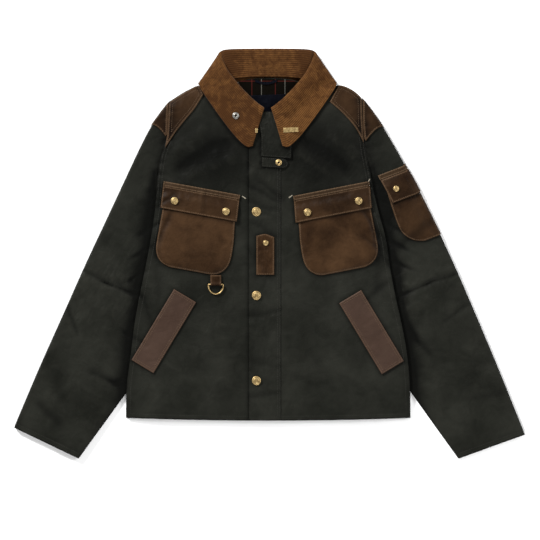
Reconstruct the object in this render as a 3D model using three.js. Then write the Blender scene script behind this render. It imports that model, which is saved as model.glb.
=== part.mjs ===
// A waxed cotton field jacket with a corduroy collar, laid out flat on its back and fastened.
// Millimetres. +X is the wearer's left, which is to the right as it is seen from above,
// +Y runs from the hem to the collar, and +Z is up from the surface that the jacket lies on.
// Tables give places as `out`, the distance from the centre line, and `up`, the place along Y.
import * as THREE from "three";

// Driving dimensions
const CLOTH = 1.5; // wall of the waxed cotton with what lines it
const TRIM = 1.3; // wall of the brown patches, pockets and flaps
const CORD_CLOTH = 2.2; // wall of the corduroy collar between its wales
const SEAM_GAP = 0.3; // between pieces that are sewn edge to edge
const LAID_GAP = 0.45; // between a piece and the panel that it is laid on
const FRONT_CLOSE_X = -8.3; // where the two fronts meet under the placket
const HEM_UP = -308;
const HEM_DROP = 5; // the hem hangs lower at the centre than at the side seams
const COLLAR_CENTRE_X = -3.4;
const WALES = 35; // raised ribs across the collar
const WALE_HEIGHT = 0.4;

const WAXED = cloth(0x2c2e27, 0.62);
const BROWN = cloth(0x49331f, 0.7);
const BROWN_EDGE = cloth(0x5f4128, 0.72);
const CORDUROY = cloth(0x7a4a22, 0.9);
const LINING = cloth(0x23241d, 0.85);
const NAVY = cloth(0x141627, 0.7);
const BRASS = new THREE.MeshStandardMaterial({ color: 0xb99a56, roughness: 0.35, metalness: 1 });
const NICKEL = new THREE.MeshStandardMaterial({ color: 0xa9a69c, roughness: 0.35, metalness: 1 });

function cloth(color, roughness) {
  return new THREE.MeshStandardMaterial({ color, roughness, metalness: 0 });
}

// The two halves. `side` is the edge of the body: the armhole seam above `armpitUp` and the side seam below.
const RIGHT = {
  name: "right",
  sign: -1,
  armpitUp: 121,
  side: [
    { up: 284, out: 188.4 },
    { up: 243, out: 190.3 },
    { up: 211, out: 193 },
    { up: 185, out: 202.5 },
    { up: 157, out: 207.6 },
    { up: 123, out: 211 },
    { up: 89, out: 213.8 },
    { up: 29, out: 222 },
    { up: -12, out: 229.7 },
    { up: -76, out: 242.8 },
    { up: -134, out: 253.5 },
    { up: -194, out: 260.6 },
    { up: -247, out: 268 },
    { up: -308, out: 269 },
  ],
  shoulder: [
    { out: 80, up: 314 },
    { out: 112, up: 311 },
    { out: 134, up: 315.5 },
    { out: 152.8, up: 306.4 },
    { out: 171.6, up: 295.3 },
    { out: 188.4, up: 284 },
  ],
  sleeve: [
    { outerOut: 189.2, outerUp: 283.5, innerOut: 212, innerUp: 120 },
    { outerOut: 204, outerUp: 264, innerOut: 207, innerUp: 111 },
    { outerOut: 223, outerUp: 237, innerOut: 201, innerUp: 99 },
    { outerOut: 246, outerUp: 192, innerOut: 194, innerUp: 80 },
    { outerOut: 272, outerUp: 136, innerOut: 185, innerUp: 46 },
    { outerOut: 308, outerUp: 59, innerOut: 180, innerUp: -16 },
    { outerOut: 346, outerUp: -22, innerOut: 190, innerUp: -92 },
    { outerOut: 385, outerUp: -110, innerOut: 221, innerUp: -188 },
    { outerOut: 427, outerUp: -203, innerOut: 263, innerUp: -254 },
    { outerOut: 453, outerUp: -264, innerOut: 309, innerUp: -318 },
    { outerOut: 479, outerUp: -326, innerOut: 357, innerUp: -384.3 },
  ],
};
const LEFT = {
  name: "left",
  sign: 1,
  armpitUp: 130,
  side: [
    { up: 291.6, out: 173.4 },
    { up: 243, out: 174.4 },
    { up: 211, out: 177.8 },
    { up: 185, out: 181.3 },
    { up: 157, out: 186.6 },
    { up: 123, out: 194 },
    { up: 89, out: 201.6 },
    { up: 29, out: 218.4 },
    { up: -12, out: 224 },
    { up: -76, out: 235.3 },
    { up: -134, out: 248.4 },
    { up: -194, out: 259 },
    { up: -247, out: 263.4 },
    { up: -308, out: 264.4 },
  ],
  shoulder: [
    { out: 80, up: 314 },
    { out: 106, up: 311 },
    { out: 128, up: 316 },
    { out: 139, up: 315 },
    { out: 158, up: 305 },
    { out: 173.4, up: 291.6 },
  ],
  sleeve: [
    { outerOut: 174.2, outerUp: 291.2, innerOut: 194.4, innerUp: 129 },
    { outerOut: 192, outerUp: 268, innerOut: 191, innerUp: 119 },
    { outerOut: 212, outerUp: 239, innerOut: 187, innerUp: 106 },
    { outerOut: 240, outerUp: 192, innerOut: 183, innerUp: 84 },
    { outerOut: 270, outerUp: 136, innerOut: 179, innerUp: 46 },
    { outerOut: 308, outerUp: 61, innerOut: 177, innerUp: -14 },
    { outerOut: 346, outerUp: -20, innerOut: 188, innerUp: -92 },
    { outerOut: 385, outerUp: -110, innerOut: 220, innerUp: -190 },
    { outerOut: 427, outerUp: -210, innerOut: 262, innerUp: -256 },
    { outerOut: 453, outerUp: -274, innerOut: 307, innerUp: -320 },
    { outerOut: 479, outerUp: -339, innerOut: 353.4, innerUp: -384.4 },
  ],
};
const HALVES = [RIGHT, LEFT];

// How high the middle of the fronts lies above the surface, from the collar to the hem.
const FRONT_LEVEL = [
  { up: 320, z: 9 },
  { up: 262, z: 9.6 },
  { up: 200, z: 11 },
  { up: 100, z: 11.6 },
  { up: 0, z: 10.6 },
  { up: -100, z: 9.6 },
  { up: -200, z: 9.2 },
  { up: -315, z: 8.4 },
];

// The largest folds, each a soft ridge (or trough, if it is negative) along a line.
const FOLDS = [
  { x1: -344, y1: -30, x2: -262, y2: -72, height: -2.6, width: 15 },
  { x1: -362, y1: -66, x2: -292, y2: -104, height: -1.6, width: 16 },
  { x1: 344, y1: -38, x2: 262, y2: -74, height: -2.4, width: 15 },
  { x1: 330, y1: -90, x2: 272, y2: -112, height: 1.5, width: 17 },
  { x1: -400, y1: -225, x2: -330, y2: -262, height: -1.4, width: 17 },
  { x1: 404, y1: -250, x2: 338, y2: -262, height: -1.4, width: 17 },
  { x1: -176, y1: 196, x2: -104, y2: 148, height: 1.7, width: 15 },
  { x1: -150, y1: 232, x2: -78, y2: 184, height: -1.4, width: 16 },
  { x1: 158, y1: 222, x2: 92, y2: 168, height: 1.5, width: 16 },
  { x1: 120, y1: 236, x2: 66, y2: 190, height: -1.3, width: 16 },
  { x1: -196, y1: -250, x2: -60, y2: -278, height: 1.2, width: 18 },
  { x1: 196, y1: -236, x2: 70, y2: -270, height: 1.1, width: 18 },
];

const clamp = (value, low, high) => Math.min(high, Math.max(low, value));
const mix = (a, b, share) => a + (b - a) * share;
const ease = (share) => {
  const t = clamp(share, 0, 1);
  return t * t * (3 - 2 * t);
};
const roundOver = (share) => Math.sqrt(1 - (1 - clamp(share, 0, 1)) ** 2);

// Reads column `want` of a table at the place `at` in column `key`, on a smooth curve through the rows.
function read(table, key, at, want) {
  const rows = table[0][key] <= table[table.length - 1][key] ? table : [...table].reverse();
  const last = rows.length - 1;
  if (at <= rows[0][key]) return rows[0][want];
  if (at >= rows[last][key]) return rows[last][want];
  let i = 0;
  while (at > rows[i + 1][key]) i += 1;
  const slope = (k) => {
    const a = rows[Math.max(k - 1, 0)];
    const b = rows[Math.min(k + 1, last)];
    return (b[want] - a[want]) / (b[key] - a[key]);
  };
  const span = rows[i + 1][key] - rows[i][key];
  const t = (at - rows[i][key]) / span;
  const h = [2 * t ** 3 - 3 * t ** 2 + 1, t ** 3 - 2 * t ** 2 + t, 3 * t ** 2 - 2 * t ** 3, t ** 3 - t ** 2];
  return h[0] * rows[i][want] + h[1] * span * slope(i) + h[2] * rows[i + 1][want] + h[3] * span * slope(i + 1);
}

// The same for a table whose rows are evenly spaced stations from 0 to 1.
function station(table, share, want) {
  const rows = table.map((row, k) => ({ at: k / (table.length - 1), value: row[want] }));
  return read(rows, "at", share, "value");
}

const half = (x) => (x < 0 ? RIGHT : LEFT);
const sideOut = (side, up) => read(side.side, "up", up, "out");

// Front and back have the same rows of points beside the armhole, so that their edges there agree.
// The rows are shares of the way from the hem to the shoulder.
const ARMHOLE_ROWS = [0.7, 0.74, 0.78, 0.83, 0.88, 0.91, 0.94, 0.97, 1];

// The armhole edge as it runs straight from row to row.
function armholeOut(side, up) {
  const share = (up - HEM_UP) / (side.shoulder[side.shoulder.length - 1].up - HEM_UP);
  const last = ARMHOLE_ROWS.length - 1;
  const k = clamp(ARMHOLE_ROWS.findIndex((row) => row >= share) - 1, 0, last - 1);
  const [from, to] = [ARMHOLE_ROWS[k], ARMHOLE_ROWS[k + 1]];
  const outAt = (row) => sideOut(side, mix(HEM_UP, side.shoulder[side.shoulder.length - 1].up, row));
  return share >= 1 ? outAt(1) : mix(outAt(from), outAt(to), clamp((share - from) / (to - from), 0, 1));
}

const hemUp = (x) => HEM_UP - HEM_DROP * (1 - clamp(Math.abs(x) / 265, 0, 1) ** 2);

function foldHeight(x, y) {
  let sum = 0;
  for (const fold of FOLDS) {
    const dx = fold.x2 - fold.x1;
    const dy = fold.y2 - fold.y1;
    const length = Math.hypot(dx, dy);
    const along = ((x - fold.x1) * dx + (y - fold.y1) * dy) / length;
    const across = ((y - fold.y1) * dx - (x - fold.x1) * dy) / length;
    const past = Math.max(-along, along - length, 0);
    sum += fold.height * Math.exp(-((across / fold.width) ** 2) - (past / (1.6 * fold.width)) ** 2);
  }
  return sum;
}

// The back lies on the surface, but it rises over the sleeves that are tucked beneath it and over
// the turned-down collar behind the neck.
const SLEEVE_LIFT = 4.8;
const COLLAR_LIFT = 3.2;
const FALL_EDGE = [
  { out: 0, up: 288 },
  { out: 52, up: 290 },
  { out: 86, up: 288 },
  { out: 112, up: 293 },
  { out: 130, up: 306 },
  { out: 160, up: 350 },
];

function tuckOut(side, up) {
  const rows = side.sleeve.map((row) => ({ up: row.innerUp, out: row.innerOut }));
  return read(rows, "up", up, "out");
}

function tuckLift(side, out, up) {
  const along = ease((side.armpitUp + 60 - up) / 42) * ease((up + 306) / 34);
  return SLEEVE_LIFT * along * ease((out - tuckOut(side, up) + 32) / 26);
}

function backLift(x, y) {
  const side = half(x);
  const fall = read(FALL_EDGE, "out", Math.abs(x - COLLAR_CENTRE_X), "up");
  return Math.max(tuckLift(side, Math.abs(x), y), COLLAR_LIFT * ease((y - fall + 22) / 17));
}

// Underside of the fronts.
const SIDE_ROLL = 75;
const SHOULDER_ROLL = 16;

function frontLow(x, y) {
  const side = half(x);
  const out = Math.abs(x);
  const joined = mix(backLift(x, y) + CLOTH + LAID_GAP, SLEEVE_LIFT + CLOTH + LAID_GAP, ease((y + 250) / 20));
  const edge = y > side.armpitUp - 10 ? SLEEVE_LIFT + CLOTH + LAID_GAP : joined;
  const fromSide = clamp((sideOut(side, y) - out) / SIDE_ROLL, 0, 1);
  const level = read(FRONT_LEVEL, "up", y, "z");
  const body = mix(edge, level, 1 - (1 - fromSide) ** 2.4);
  const shoulder = read(side.shoulder, "out", out, "up");
  const onShoulder = ease((out - 70) / 25) * (1 - roundOver((shoulder - y) / SHOULDER_ROLL));
  const calm = ease(fromSide * 4) * ease((shoulder - y) / 30) * ease((y - HEM_UP) / 20);
  return mix(body, backLift(x, y) + CLOTH + 2 * LAID_GAP, onShoulder) + foldHeight(x, y) * calm;
}

// Solids

function meshOf(name, material, points, faces) {
  const geometry = new THREE.BufferGeometry();
  geometry.setAttribute("position", new THREE.Float32BufferAttribute(points.flat(), 3));
  let volume = 0;
  for (const [a, b, c] of faces) {
    const [p, q, r] = [points[a], points[b], points[c]];
    volume += p[0] * (q[1] * r[2] - q[2] * r[1]) - p[1] * (q[0] * r[2] - q[2] * r[0]);
    volume += p[2] * (q[0] * r[1] - q[1] * r[0]);
  }
  geometry.setIndex((volume < 0 ? faces.map(([a, b, c]) => [a, c, b]) : faces).flat());
  geometry.computeVertexNormals();
  const mesh = new THREE.Mesh(geometry, material);
  mesh.name = name;
  return mesh;
}

// A wall between two grids of points: `outer` and `inner` give a point for shares u and v.
// `around` joins the two ends in u, for a tube, and `along` those in v.
function wall(name, material, us, vs, outer, inner, around = false, along = false) {
  const nu = us.length;
  const nv = vs.length;
  const points = [];
  for (const face of [outer, inner]) for (const v of vs) for (const u of us) points.push(face(u, v));
  const at = (layer, i, j) => layer * nu * nv + (j % nv) * nu + (i % nu);
  const faces = [];
  const quad = (a, b, c, d) => faces.push([a, b, c], [a, c, d]);
  const iEnd = around ? nu : nu - 1;
  const jEnd = along ? nv : nv - 1;
  for (let j = 0; j < jEnd; j += 1) {
    for (let i = 0; i < iEnd; i += 1) {
      quad(at(0, i, j), at(0, i + 1, j), at(0, i + 1, j + 1), at(0, i, j + 1));
      quad(at(1, i, j), at(1, i, j + 1), at(1, i + 1, j + 1), at(1, i + 1, j));
    }
  }
  if (!along) {
    for (let i = 0; i < iEnd; i += 1) {
      quad(at(0, i, 0), at(1, i, 0), at(1, i + 1, 0), at(0, i + 1, 0));
      quad(at(0, i, nv - 1), at(0, i + 1, nv - 1), at(1, i + 1, nv - 1), at(1, i, nv - 1));
    }
  }
  if (!around) {
    for (let j = 0; j < jEnd; j += 1) {
      quad(at(0, 0, j), at(0, 0, j + 1), at(1, 0, j + 1), at(1, 0, j));
      quad(at(0, nu - 1, j), at(1, nu - 1, j), at(1, nu - 1, j + 1), at(0, nu - 1, j + 1));
    }
  }
  return meshOf(name, material, points, faces);
}

// The same for a sheet whose outer face has more rows of points than its inner face.
function ribbed(name, material, us, outerVs, innerVs, outer, inner) {
  const nu = us.length;
  const points = [];
  for (const v of outerVs) for (const u of us) points.push(outer(u, v));
  for (const v of innerVs) for (const u of us) points.push(inner(u, v));
  const out = (i, j) => j * nu + i;
  const ins = (i, j) => (outerVs.length + j) * nu + i;
  const faces = [];
  for (let i = 0; i < nu - 1; i += 1) {
    for (let j = 0; j < outerVs.length - 1; j += 1) {
      faces.push([out(i, j), out(i + 1, j), out(i + 1, j + 1)], [out(i, j), out(i + 1, j + 1), out(i, j + 1)]);
    }
    for (let j = 0; j < innerVs.length - 1; j += 1) {
      faces.push([ins(i, j), ins(i + 1, j + 1), ins(i + 1, j)], [ins(i, j), ins(i, j + 1), ins(i + 1, j + 1)]);
    }
    const [m, n] = [outerVs.length - 1, innerVs.length - 1];
    faces.push([out(i, 0), ins(i, 0), ins(i + 1, 0)], [out(i, 0), ins(i + 1, 0), out(i + 1, 0)]);
    faces.push([out(i, m), ins(i + 1, n), ins(i, n)], [out(i, m), out(i + 1, m), ins(i + 1, n)]);
  }
  for (const i of [0, nu - 1]) {
    let [j, k] = [0, 0];
    const flip = (a, b, c) => faces.push(i === 0 ? [a, b, c] : [a, c, b]);
    while (j < outerVs.length - 1 || k < innerVs.length - 1) {
      const stepOuter = k === innerVs.length - 1 || (j < outerVs.length - 1 && outerVs[j + 1] <= innerVs[k + 1]);
      if (stepOuter) {
        flip(out(i, j), out(i, j + 1), ins(i, k));
        j += 1;
      } else {
        flip(out(i, j), ins(i, k + 1), ins(i, k));
        k += 1;
      }
    }
  }
  return meshOf(name, material, points, faces);
}

const shares = (count) => Array.from({ length: count + 1 }, (_, k) => k / count);

// A closed tube along a closed path.
function loop(name, material, path, radius, sides) {
  const count = path.length;
  const frame = (v) => {
    const k = Math.round(v * count) % count;
    const here = new THREE.Vector3(...path[k]);
    const ahead = new THREE.Vector3(...path[(k + 1) % count]);
    const behind = new THREE.Vector3(...path[(k + count - 1) % count]);
    const run = ahead.sub(behind).normalize();
    const over = new THREE.Vector3(0, 0, 1);
    return { here, over, out: new THREE.Vector3().crossVectors(run, over) };
  };
  const points = [];
  const faces = [];
  for (let j = 0; j < count; j += 1) {
    const { here, over, out } = frame(j / count);
    for (let i = 0; i < sides; i += 1) {
      const angle = (2 * Math.PI * i) / sides;
      const p = here.clone().addScaledVector(out, radius * Math.cos(angle));
      points.push(p.addScaledVector(over, radius * Math.sin(angle)).toArray());
      const [a, b] = [j * sides + i, j * sides + ((i + 1) % sides)];
      const [c, d] = [((j + 1) % count) * sides + ((i + 1) % sides), ((j + 1) % count) * sides + i];
      faces.push([a, b, c], [a, c, d]);
    }
  }
  return meshOf(name, material, points, faces);
}

// The height of the highest of some meshes at a place, from their own flat facets.
function topOf(meshes) {
  const triangles = [];
  for (const mesh of meshes) {
    const place = mesh.geometry.getAttribute("position");
    const index = mesh.geometry.index;
    const corner = (k) => new THREE.Vector3().fromBufferAttribute(place, index ? index.getX(k) : k);
    for (let k = 0; k < (index ? index.count : place.count); k += 3) {
      triangles.push([corner(k), corner(k + 1), corner(k + 2)].map((p) => p.applyMatrix4(mesh.matrixWorld)));
    }
  }
  const boxes = triangles.map((t) => [
    Math.min(t[0].x, t[1].x, t[2].x),
    Math.max(t[0].x, t[1].x, t[2].x),
    Math.min(t[0].y, t[1].y, t[2].y),
    Math.max(t[0].y, t[1].y, t[2].y),
  ]);
  return (x, y) => {
    let best = 0;
    triangles.forEach(([a, b, c], k) => {
      const box = boxes[k];
      if (x < box[0] || x > box[1] || y < box[2] || y > box[3]) return;
      const area = (b.x - a.x) * (c.y - a.y) - (c.x - a.x) * (b.y - a.y);
      if (Math.abs(area) < 1e-6) return;
      const s = ((x - a.x) * (c.y - a.y) - (c.x - a.x) * (y - a.y)) / area;
      const t = ((b.x - a.x) * (y - a.y) - (x - a.x) * (b.y - a.y)) / area;
      if (s < -1e-6 || t < -1e-6 || s + t > 1 + 1e-6) return;
      best = Math.max(best, a.z + s * (b.z - a.z) + t * (c.z - a.z));
    });
    return best;
  };
}

const AROUND = [0, 1, 2, 3, 4, 5, 6, 7].map((k) => [Math.cos((k * Math.PI) / 4), Math.sin((k * Math.PI) / 4)]);
const topNear = (top, x, y, reach) => Math.max(top(x, y), ...AROUND.map(([c, s]) => top(x + reach * c, y + reach * s)));

// A piece of cloth laid on others. `plan(u, v)` gives its place as [x, y], and `puff(u, v)` how far it
// stands off what carries it. Each point clears the highest spot within `reach` of it, and none lies
// lower than `least`.
function laid(name, material, us, vs, plan, carriers, { thick = TRIM, puff = () => 0, reach = 4, level = false, least = 0 } = {}) {
  const top = topOf(carriers);
  const heights = new Map();
  let highest = 0;
  for (const v of vs) {
    for (const u of us) {
      const [x, y] = plan(u, v);
      const z = Math.max(topNear(top, x, y, reach) + LAID_GAP + puff(u, v), least);
      heights.set(`${u}/${v}`, [x, y, z]);
      highest = Math.max(highest, z);
    }
  }
  // A stiff piece stays level, and rests on the highest spot under it.
  const low = (u, v) => {
    const [x, y, z] = heights.get(`${u}/${v}`);
    return [x, y, level ? highest : z];
  };
  const high = (u, v) => {
    const [x, y, z] = low(u, v);
    return [x, y, z + thick];
  };
  return wall(name, material, us, vs, high, low);
}

// Body

function neckUp(x) {
  // The front neckline runs down from the shoulder seam to where the fronts meet.
  const out = clamp(Math.abs(x - COLLAR_CENTRE_X), 0, 82);
  return mix(258, 314, (out / 82) ** 1.6);
}

function frontTopUp(side, x) {
  const out = Math.abs(x);
  return out < 80 ? Math.min(neckUp(x), 314) : read(side.shoulder, "out", out, "up");
}

function front(side, backMesh) {
  const backTop = topOf([backMesh]);
  const closeX = FRONT_CLOSE_X + side.sign * (SEAM_GAP / 2 + 0.1);
  const topOut = side.shoulder[side.shoulder.length - 1].out - SEAM_GAP;
  const plan = (u, v) => {
    const topX = mix(closeX, side.sign * topOut, u);
    const y = mix(hemUp(mix(closeX, side.sign * 265, u)), frontTopUp(side, topX), v);
    const edge = side.sign * (sideOut(side, y) - SEAM_GAP);
    return [mix(closeX, edge, u), y];
  };
  const low = (u, v) => {
    const [x, y] = plan(u, v);
    return [x, y, Math.max(frontLow(x, y), topNear(backTop, x, y, 12) + 3 * LAID_GAP)];
  };
  const high = (u, v) => {
    const [x, y, z] = low(u, v);
    return [x, y, z + CLOTH];
  };
  const us = [0, 0.12, 0.24, 0.36, 0.47, 0.58, 0.68, 0.78, 0.87, 0.94, 1];
  const vs = [...shares(20).slice(0, 14), ...ARMHOLE_ROWS];
  return wall(`front_${side.name}`, WAXED, us, vs, high, low);
}

function back() {
  const backNeckUp = (x) => 329.5 - 15.5 * (Math.abs(x - COLLAR_CENTRE_X) / 82) ** 4;
  // Columns at the side edge, at both ends of the rise over the tucked sleeve, and further in.
  const column = (side, k, y) => {
    const edge = sideOut(side, y) - 2 * SEAM_GAP;
    const tuck = Math.min(tuckOut(side, y) - 6, edge - 12);
    const foot = tuck - 26;
    return [edge, mix(edge, tuck, 0.5), tuck, foot, mix(foot, 84, 0.5), 84, 38][k];
  };
  const columnAt = (u, y) => {
    if (u === 7) return 0;
    return u < 7 ? -column(RIGHT, u, y) : column(LEFT, 14 - u, y);
  };
  const plan = (u, v) => {
    const side = u < 7 ? RIGHT : LEFT;
    let y = mix(HEM_UP, 300, v);
    for (let k = 0; k < 6; k += 1) {
      const x = columnAt(u, y);
      const top = Math.abs(x) < 80 ? backNeckUp(x) : read(side.shoulder, "out", Math.abs(x), "up");
      y = mix(hemUp(x), top, v);
    }
    return [columnAt(u, y), y];
  };
  const low = (u, v) => {
    const [x, y] = plan(u, v);
    return [x, y, backLift(x, y)];
  };
  const high = (u, v) => {
    const [x, y, z] = low(u, v);
    return [x, y, z + CLOTH];
  };
  const us = shares(14).map((share) => Math.round(share * 14));
  const vs = [0, 0.06, 0.12, 0.2, 0.3, 0.4, 0.5, 0.58, 0.65, ...ARMHOLE_ROWS];
  return wall("back", WAXED, us, vs, high, low);
}

// Sleeves: flattened tubes. A point on a ring is found from where it lies around the ring:
// around the outer fold, over the top, around the inner fold, or along the underside.
const OUTER_FOLD_RADIUS = 5;

function ringOf(side, v) {
  const at = (want) => station(side.sleeve, v, want);
  const outer = [side.sign * at("outerOut"), at("outerUp")];
  const inner = [side.sign * at("innerOut"), at("innerUp")];
  const width = Math.hypot(inner[0] - outer[0], inner[1] - outer[1]);
  const across = [(inner[0] - outer[0]) / width, (inner[1] - outer[1]) / width];
  const innerRadius = mix(2, 4, ease((v - 0.8) / 0.15));
  return { outer, width, across, innerRadius };
}

function sleeveTop(side, v, x, y) {
  const out = Math.abs(x);
  const beyond = out - sideOut(side, clamp(y, HEM_UP, side.shoulder[5].up));
  const armhole = SLEEVE_LIFT + 2 * CLOTH + LAID_GAP;
  const tucked = SLEEVE_LIFT - 2.5 * LAID_GAP;
  const atBody = mix(tucked, armhole, ease((y - side.armpitUp - 14) / 34));
  const full = mix(12.4, 10, v);
  const calm = ease(beyond / 30) * ease((v - 0.04) / 0.12);
  return mix(atBody, full, ease(beyond / 48)) + foldHeight(x, y) * calm;
}

const ARMHOLE_EASE = 0.9; // what the straight runs of the sleeve's end need to clear the body's corners
const UNDERSIDE_EASE = 4; // the underside has fewer points, so it needs more

// Where the point at distance d from the outer fold lies. The sleeve's top end is drawn to the armhole.
function sleevePlan(side, v, d, clearance = ARMHOLE_EASE) {
  const onRing = (ring, share) => [0, 1].map((k) => ring.outer[k] + ring.across[k] * ring.width * share);
  const seam = (y) => armholeOut(side, y) + SEAM_GAP + clearance;
  const ring = ringOf(side, v);
  const [x, y] = onRing(ring, d / ring.width);
  const [endX, endY] = onRing(ringOf(side, 0), d / ring.width);
  const drawn = (Math.abs(endX) - seam(endY)) * (1 - ease(v / 0.12));
  if (y < side.armpitUp - 2) return [x, y];
  return [side.sign * Math.max(Math.abs(x) - Math.max(drawn, 0), seam(y)), y];
}

function sleevePoint(side, v, spot, offset) {
  const ring = ringOf(side, v);
  const place = (d) => sleevePlan(side, v, d, spot.part === "bottom" ? UNDERSIDE_EASE : ARMHOLE_EASE);
  const topAt = (d) => {
    const [x, y] = place(clamp(d, OUTER_FOLD_RADIUS, ring.width - ring.innerRadius));
    return sleeveTop(side, v, x, y) + offset;
  };
  if (spot.part === "outer" || spot.part === "inner") {
    const isOuter = spot.part === "outer";
    const radius = (isOuter ? OUTER_FOLD_RADIUS : ring.innerRadius) + offset;
    const inset = -offset + radius * (1 - Math.cos(spot.angle));
    const d = isOuter ? inset : ring.width - inset;
    const centre = isOuter ? OUTER_FOLD_RADIUS : ring.innerRadius;
    const reach = spot.angle > 0 ? topAt(d) - centre : centre + offset;
    return [...place(d), centre + reach * Math.sin(spot.angle)];
  }
  const d = mix(OUTER_FOLD_RADIUS, ring.width - ring.innerRadius, spot.share);
  return [...place(d), spot.part === "top" ? topAt(d) : -offset];
}

function ringSpots() {
  const spots = [];
  for (let k = 0; k <= 5; k += 1) spots.push({ part: "outer", angle: ((k - 2.5) * Math.PI) / 5 });
  for (let k = 1; k <= 8; k += 1) spots.push({ part: "top", share: k / 9 });
  for (let k = 0; k <= 4; k += 1) spots.push({ part: "inner", angle: ((2 - k) * Math.PI) / 4 });
  spots.push({ part: "bottom", share: 0.5 });
  return spots;
}

const SLEEVE_ROWS = [0, 0.04, 0.09, 0.15, 0.21, 0.28, 0.35, 0.42, 0.49, 0.54, 0.59, 0.64, 0.69, 0.75, 0.82, 0.9, 1];

function sleeve(side) {
  const spots = ringSpots();
  const us = spots.map((_, k) => k);
  const outer = (k, v) => sleevePoint(side, v, spots[k], 0);
  const inner = (k, v) => sleevePoint(side, v, spots[k], -CLOTH);
  return wall(`sleeve_${side.name}`, WAXED, us, SLEEVE_ROWS, outer, inner, true);
}

// A piece wrapped over the outer fold of a sleeve. `run(a, b)` gives where shares a, across, and b,
// along, lie: the distance from the fold, negative beneath it, the share of the sleeve's length at
// the fold, and, if it isn't straight across the sleeve, which way the piece runs from there.
const FOLD_ARC = (OUTER_FOLD_RADIUS * Math.PI) / 2;
const FOLD_UNDER = -0.55 * OUTER_FOLD_RADIUS;

function wrapped(name, material, side, sleeveMesh, us, vs, run, { thick = TRIM, puff = () => 0 } = {}) {
  const top = topOf([sleeveMesh]);
  const at = (layer) => (a, b) => {
    const { from, v, heading } = run(a, b);
    const offset = LAID_GAP + puff(a, b) + layer;
    if (from <= FOLD_ARC) return sleevePoint(side, v, { part: "outer", angle: from / OUTER_FOLD_RADIUS }, offset);
    const past = from - FOLD_ARC;
    const start = sleevePlan(side, v, OUTER_FOLD_RADIUS);
    const straight = () => [0, 1].map((k) => start[k] + heading[k] * past);
    const [x, y] = heading ? straight() : sleevePlan(side, v, OUTER_FOLD_RADIUS + past);
    return [x, y, topNear(top, x, y, 3) + offset];
  };
  return wall(name, material, us, vs, at(thick), at(0));
}

// Collar: one folded band, from the wearer's right point round the back to the left one.
// Each row is a section from the neck seam over the roll to the outer edge. `turn` is 0 where the
// turned-down part lies on top, in front, and 180 where it lies underneath, behind the neck.
const COLLAR = [
  { seamOut: 0, seamUp: 331, seamZ: 6.9, rollOut: 0, rollUp: 383, rollZ: 6.6, gap: 4.9, edgeOut: 0, edgeUp: 288.5, turn: 180 },
  { seamOut: 34, seamUp: 330.6, seamZ: 6.9, rollOut: 38, rollUp: 382.8, rollZ: 6.6, gap: 4.9, edgeOut: 40, edgeUp: 289, turn: 180 },
  { seamOut: 58, seamUp: 328, seamZ: 7, rollOut: 66, rollUp: 382.2, rollZ: 6.6, gap: 4.9, edgeOut: 76, edgeUp: 291, turn: 180 },
  { seamOut: 70, seamUp: 325, seamZ: 7.4, rollOut: 79, rollUp: 381, rollZ: 6.9, gap: 4.9, edgeOut: 103, edgeUp: 298, turn: 172 },
  { seamOut: 74, seamUp: 322, seamZ: 8, rollOut: 84, rollUp: 379.5, rollZ: 7.3, gap: 4.7, edgeOut: 121, edgeUp: 309, turn: 150 },
  { seamOut: 75, seamUp: 319, seamZ: 8.8, rollOut: 86.6, rollUp: 376.5, rollZ: 8, gap: 4.4, edgeOut: 128.6, edgeUp: 317, turn: 112 },
  { seamOut: 75, seamUp: 316, seamZ: 9.6, rollOut: 86.5, rollUp: 372, rollZ: 9, gap: 4.2, edgeOut: 129.4, edgeUp: 316.5, turn: 74 },
  { seamOut: 74, seamUp: 312, seamZ: 10.4, rollOut: 84.5, rollUp: 364, rollZ: 10.4, gap: 4, edgeOut: 127, edgeUp: 311, turn: 36 },
  { seamOut: 72, seamUp: 306, seamZ: 11.4, rollOut: 80, rollUp: 353, rollZ: 12, gap: 3.8, edgeOut: 121, edgeUp: 301, turn: 10 },
  { seamOut: 67, seamUp: 297, seamZ: 12.4, rollOut: 72, rollUp: 338, rollZ: 13.6, gap: 3.6, edgeOut: 110, edgeUp: 285, turn: 0 },
  { seamOut: 55, seamUp: 284, seamZ: 13, rollOut: 53, rollUp: 314, rollZ: 15.2, gap: 3.4, edgeOut: 88, edgeUp: 254, turn: 0 },
  { seamOut: 37, seamUp: 272, seamZ: 13.2, rollOut: 33, rollUp: 293, rollZ: 16, gap: 3.2, edgeOut: 64, edgeUp: 223, turn: 0 },
  { seamOut: 22, seamUp: 264, seamZ: 13.2, rollOut: 17, rollUp: 279, rollZ: 16.2, gap: 3, edgeOut: 45, edgeUp: 203.5, turn: 0 },
  { seamOut: 14, seamUp: 261, seamZ: 13.2, rollOut: 9, rollUp: 273.5, rollZ: 16.2, gap: 2.9, edgeOut: 36, edgeUp: 199, turn: 0 },
  { seamOut: 11, seamUp: 260, seamZ: 13.2, rollOut: 6.5, rollUp: 271.5, rollZ: 16.2, gap: 2.8, edgeOut: 28, edgeUp: 201, turn: 0 },
];
const STAND_SHARE = 0.34; // of the points of a section, those from the seam to the roll
const ROLL_SHARE = 0.12;

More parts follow.
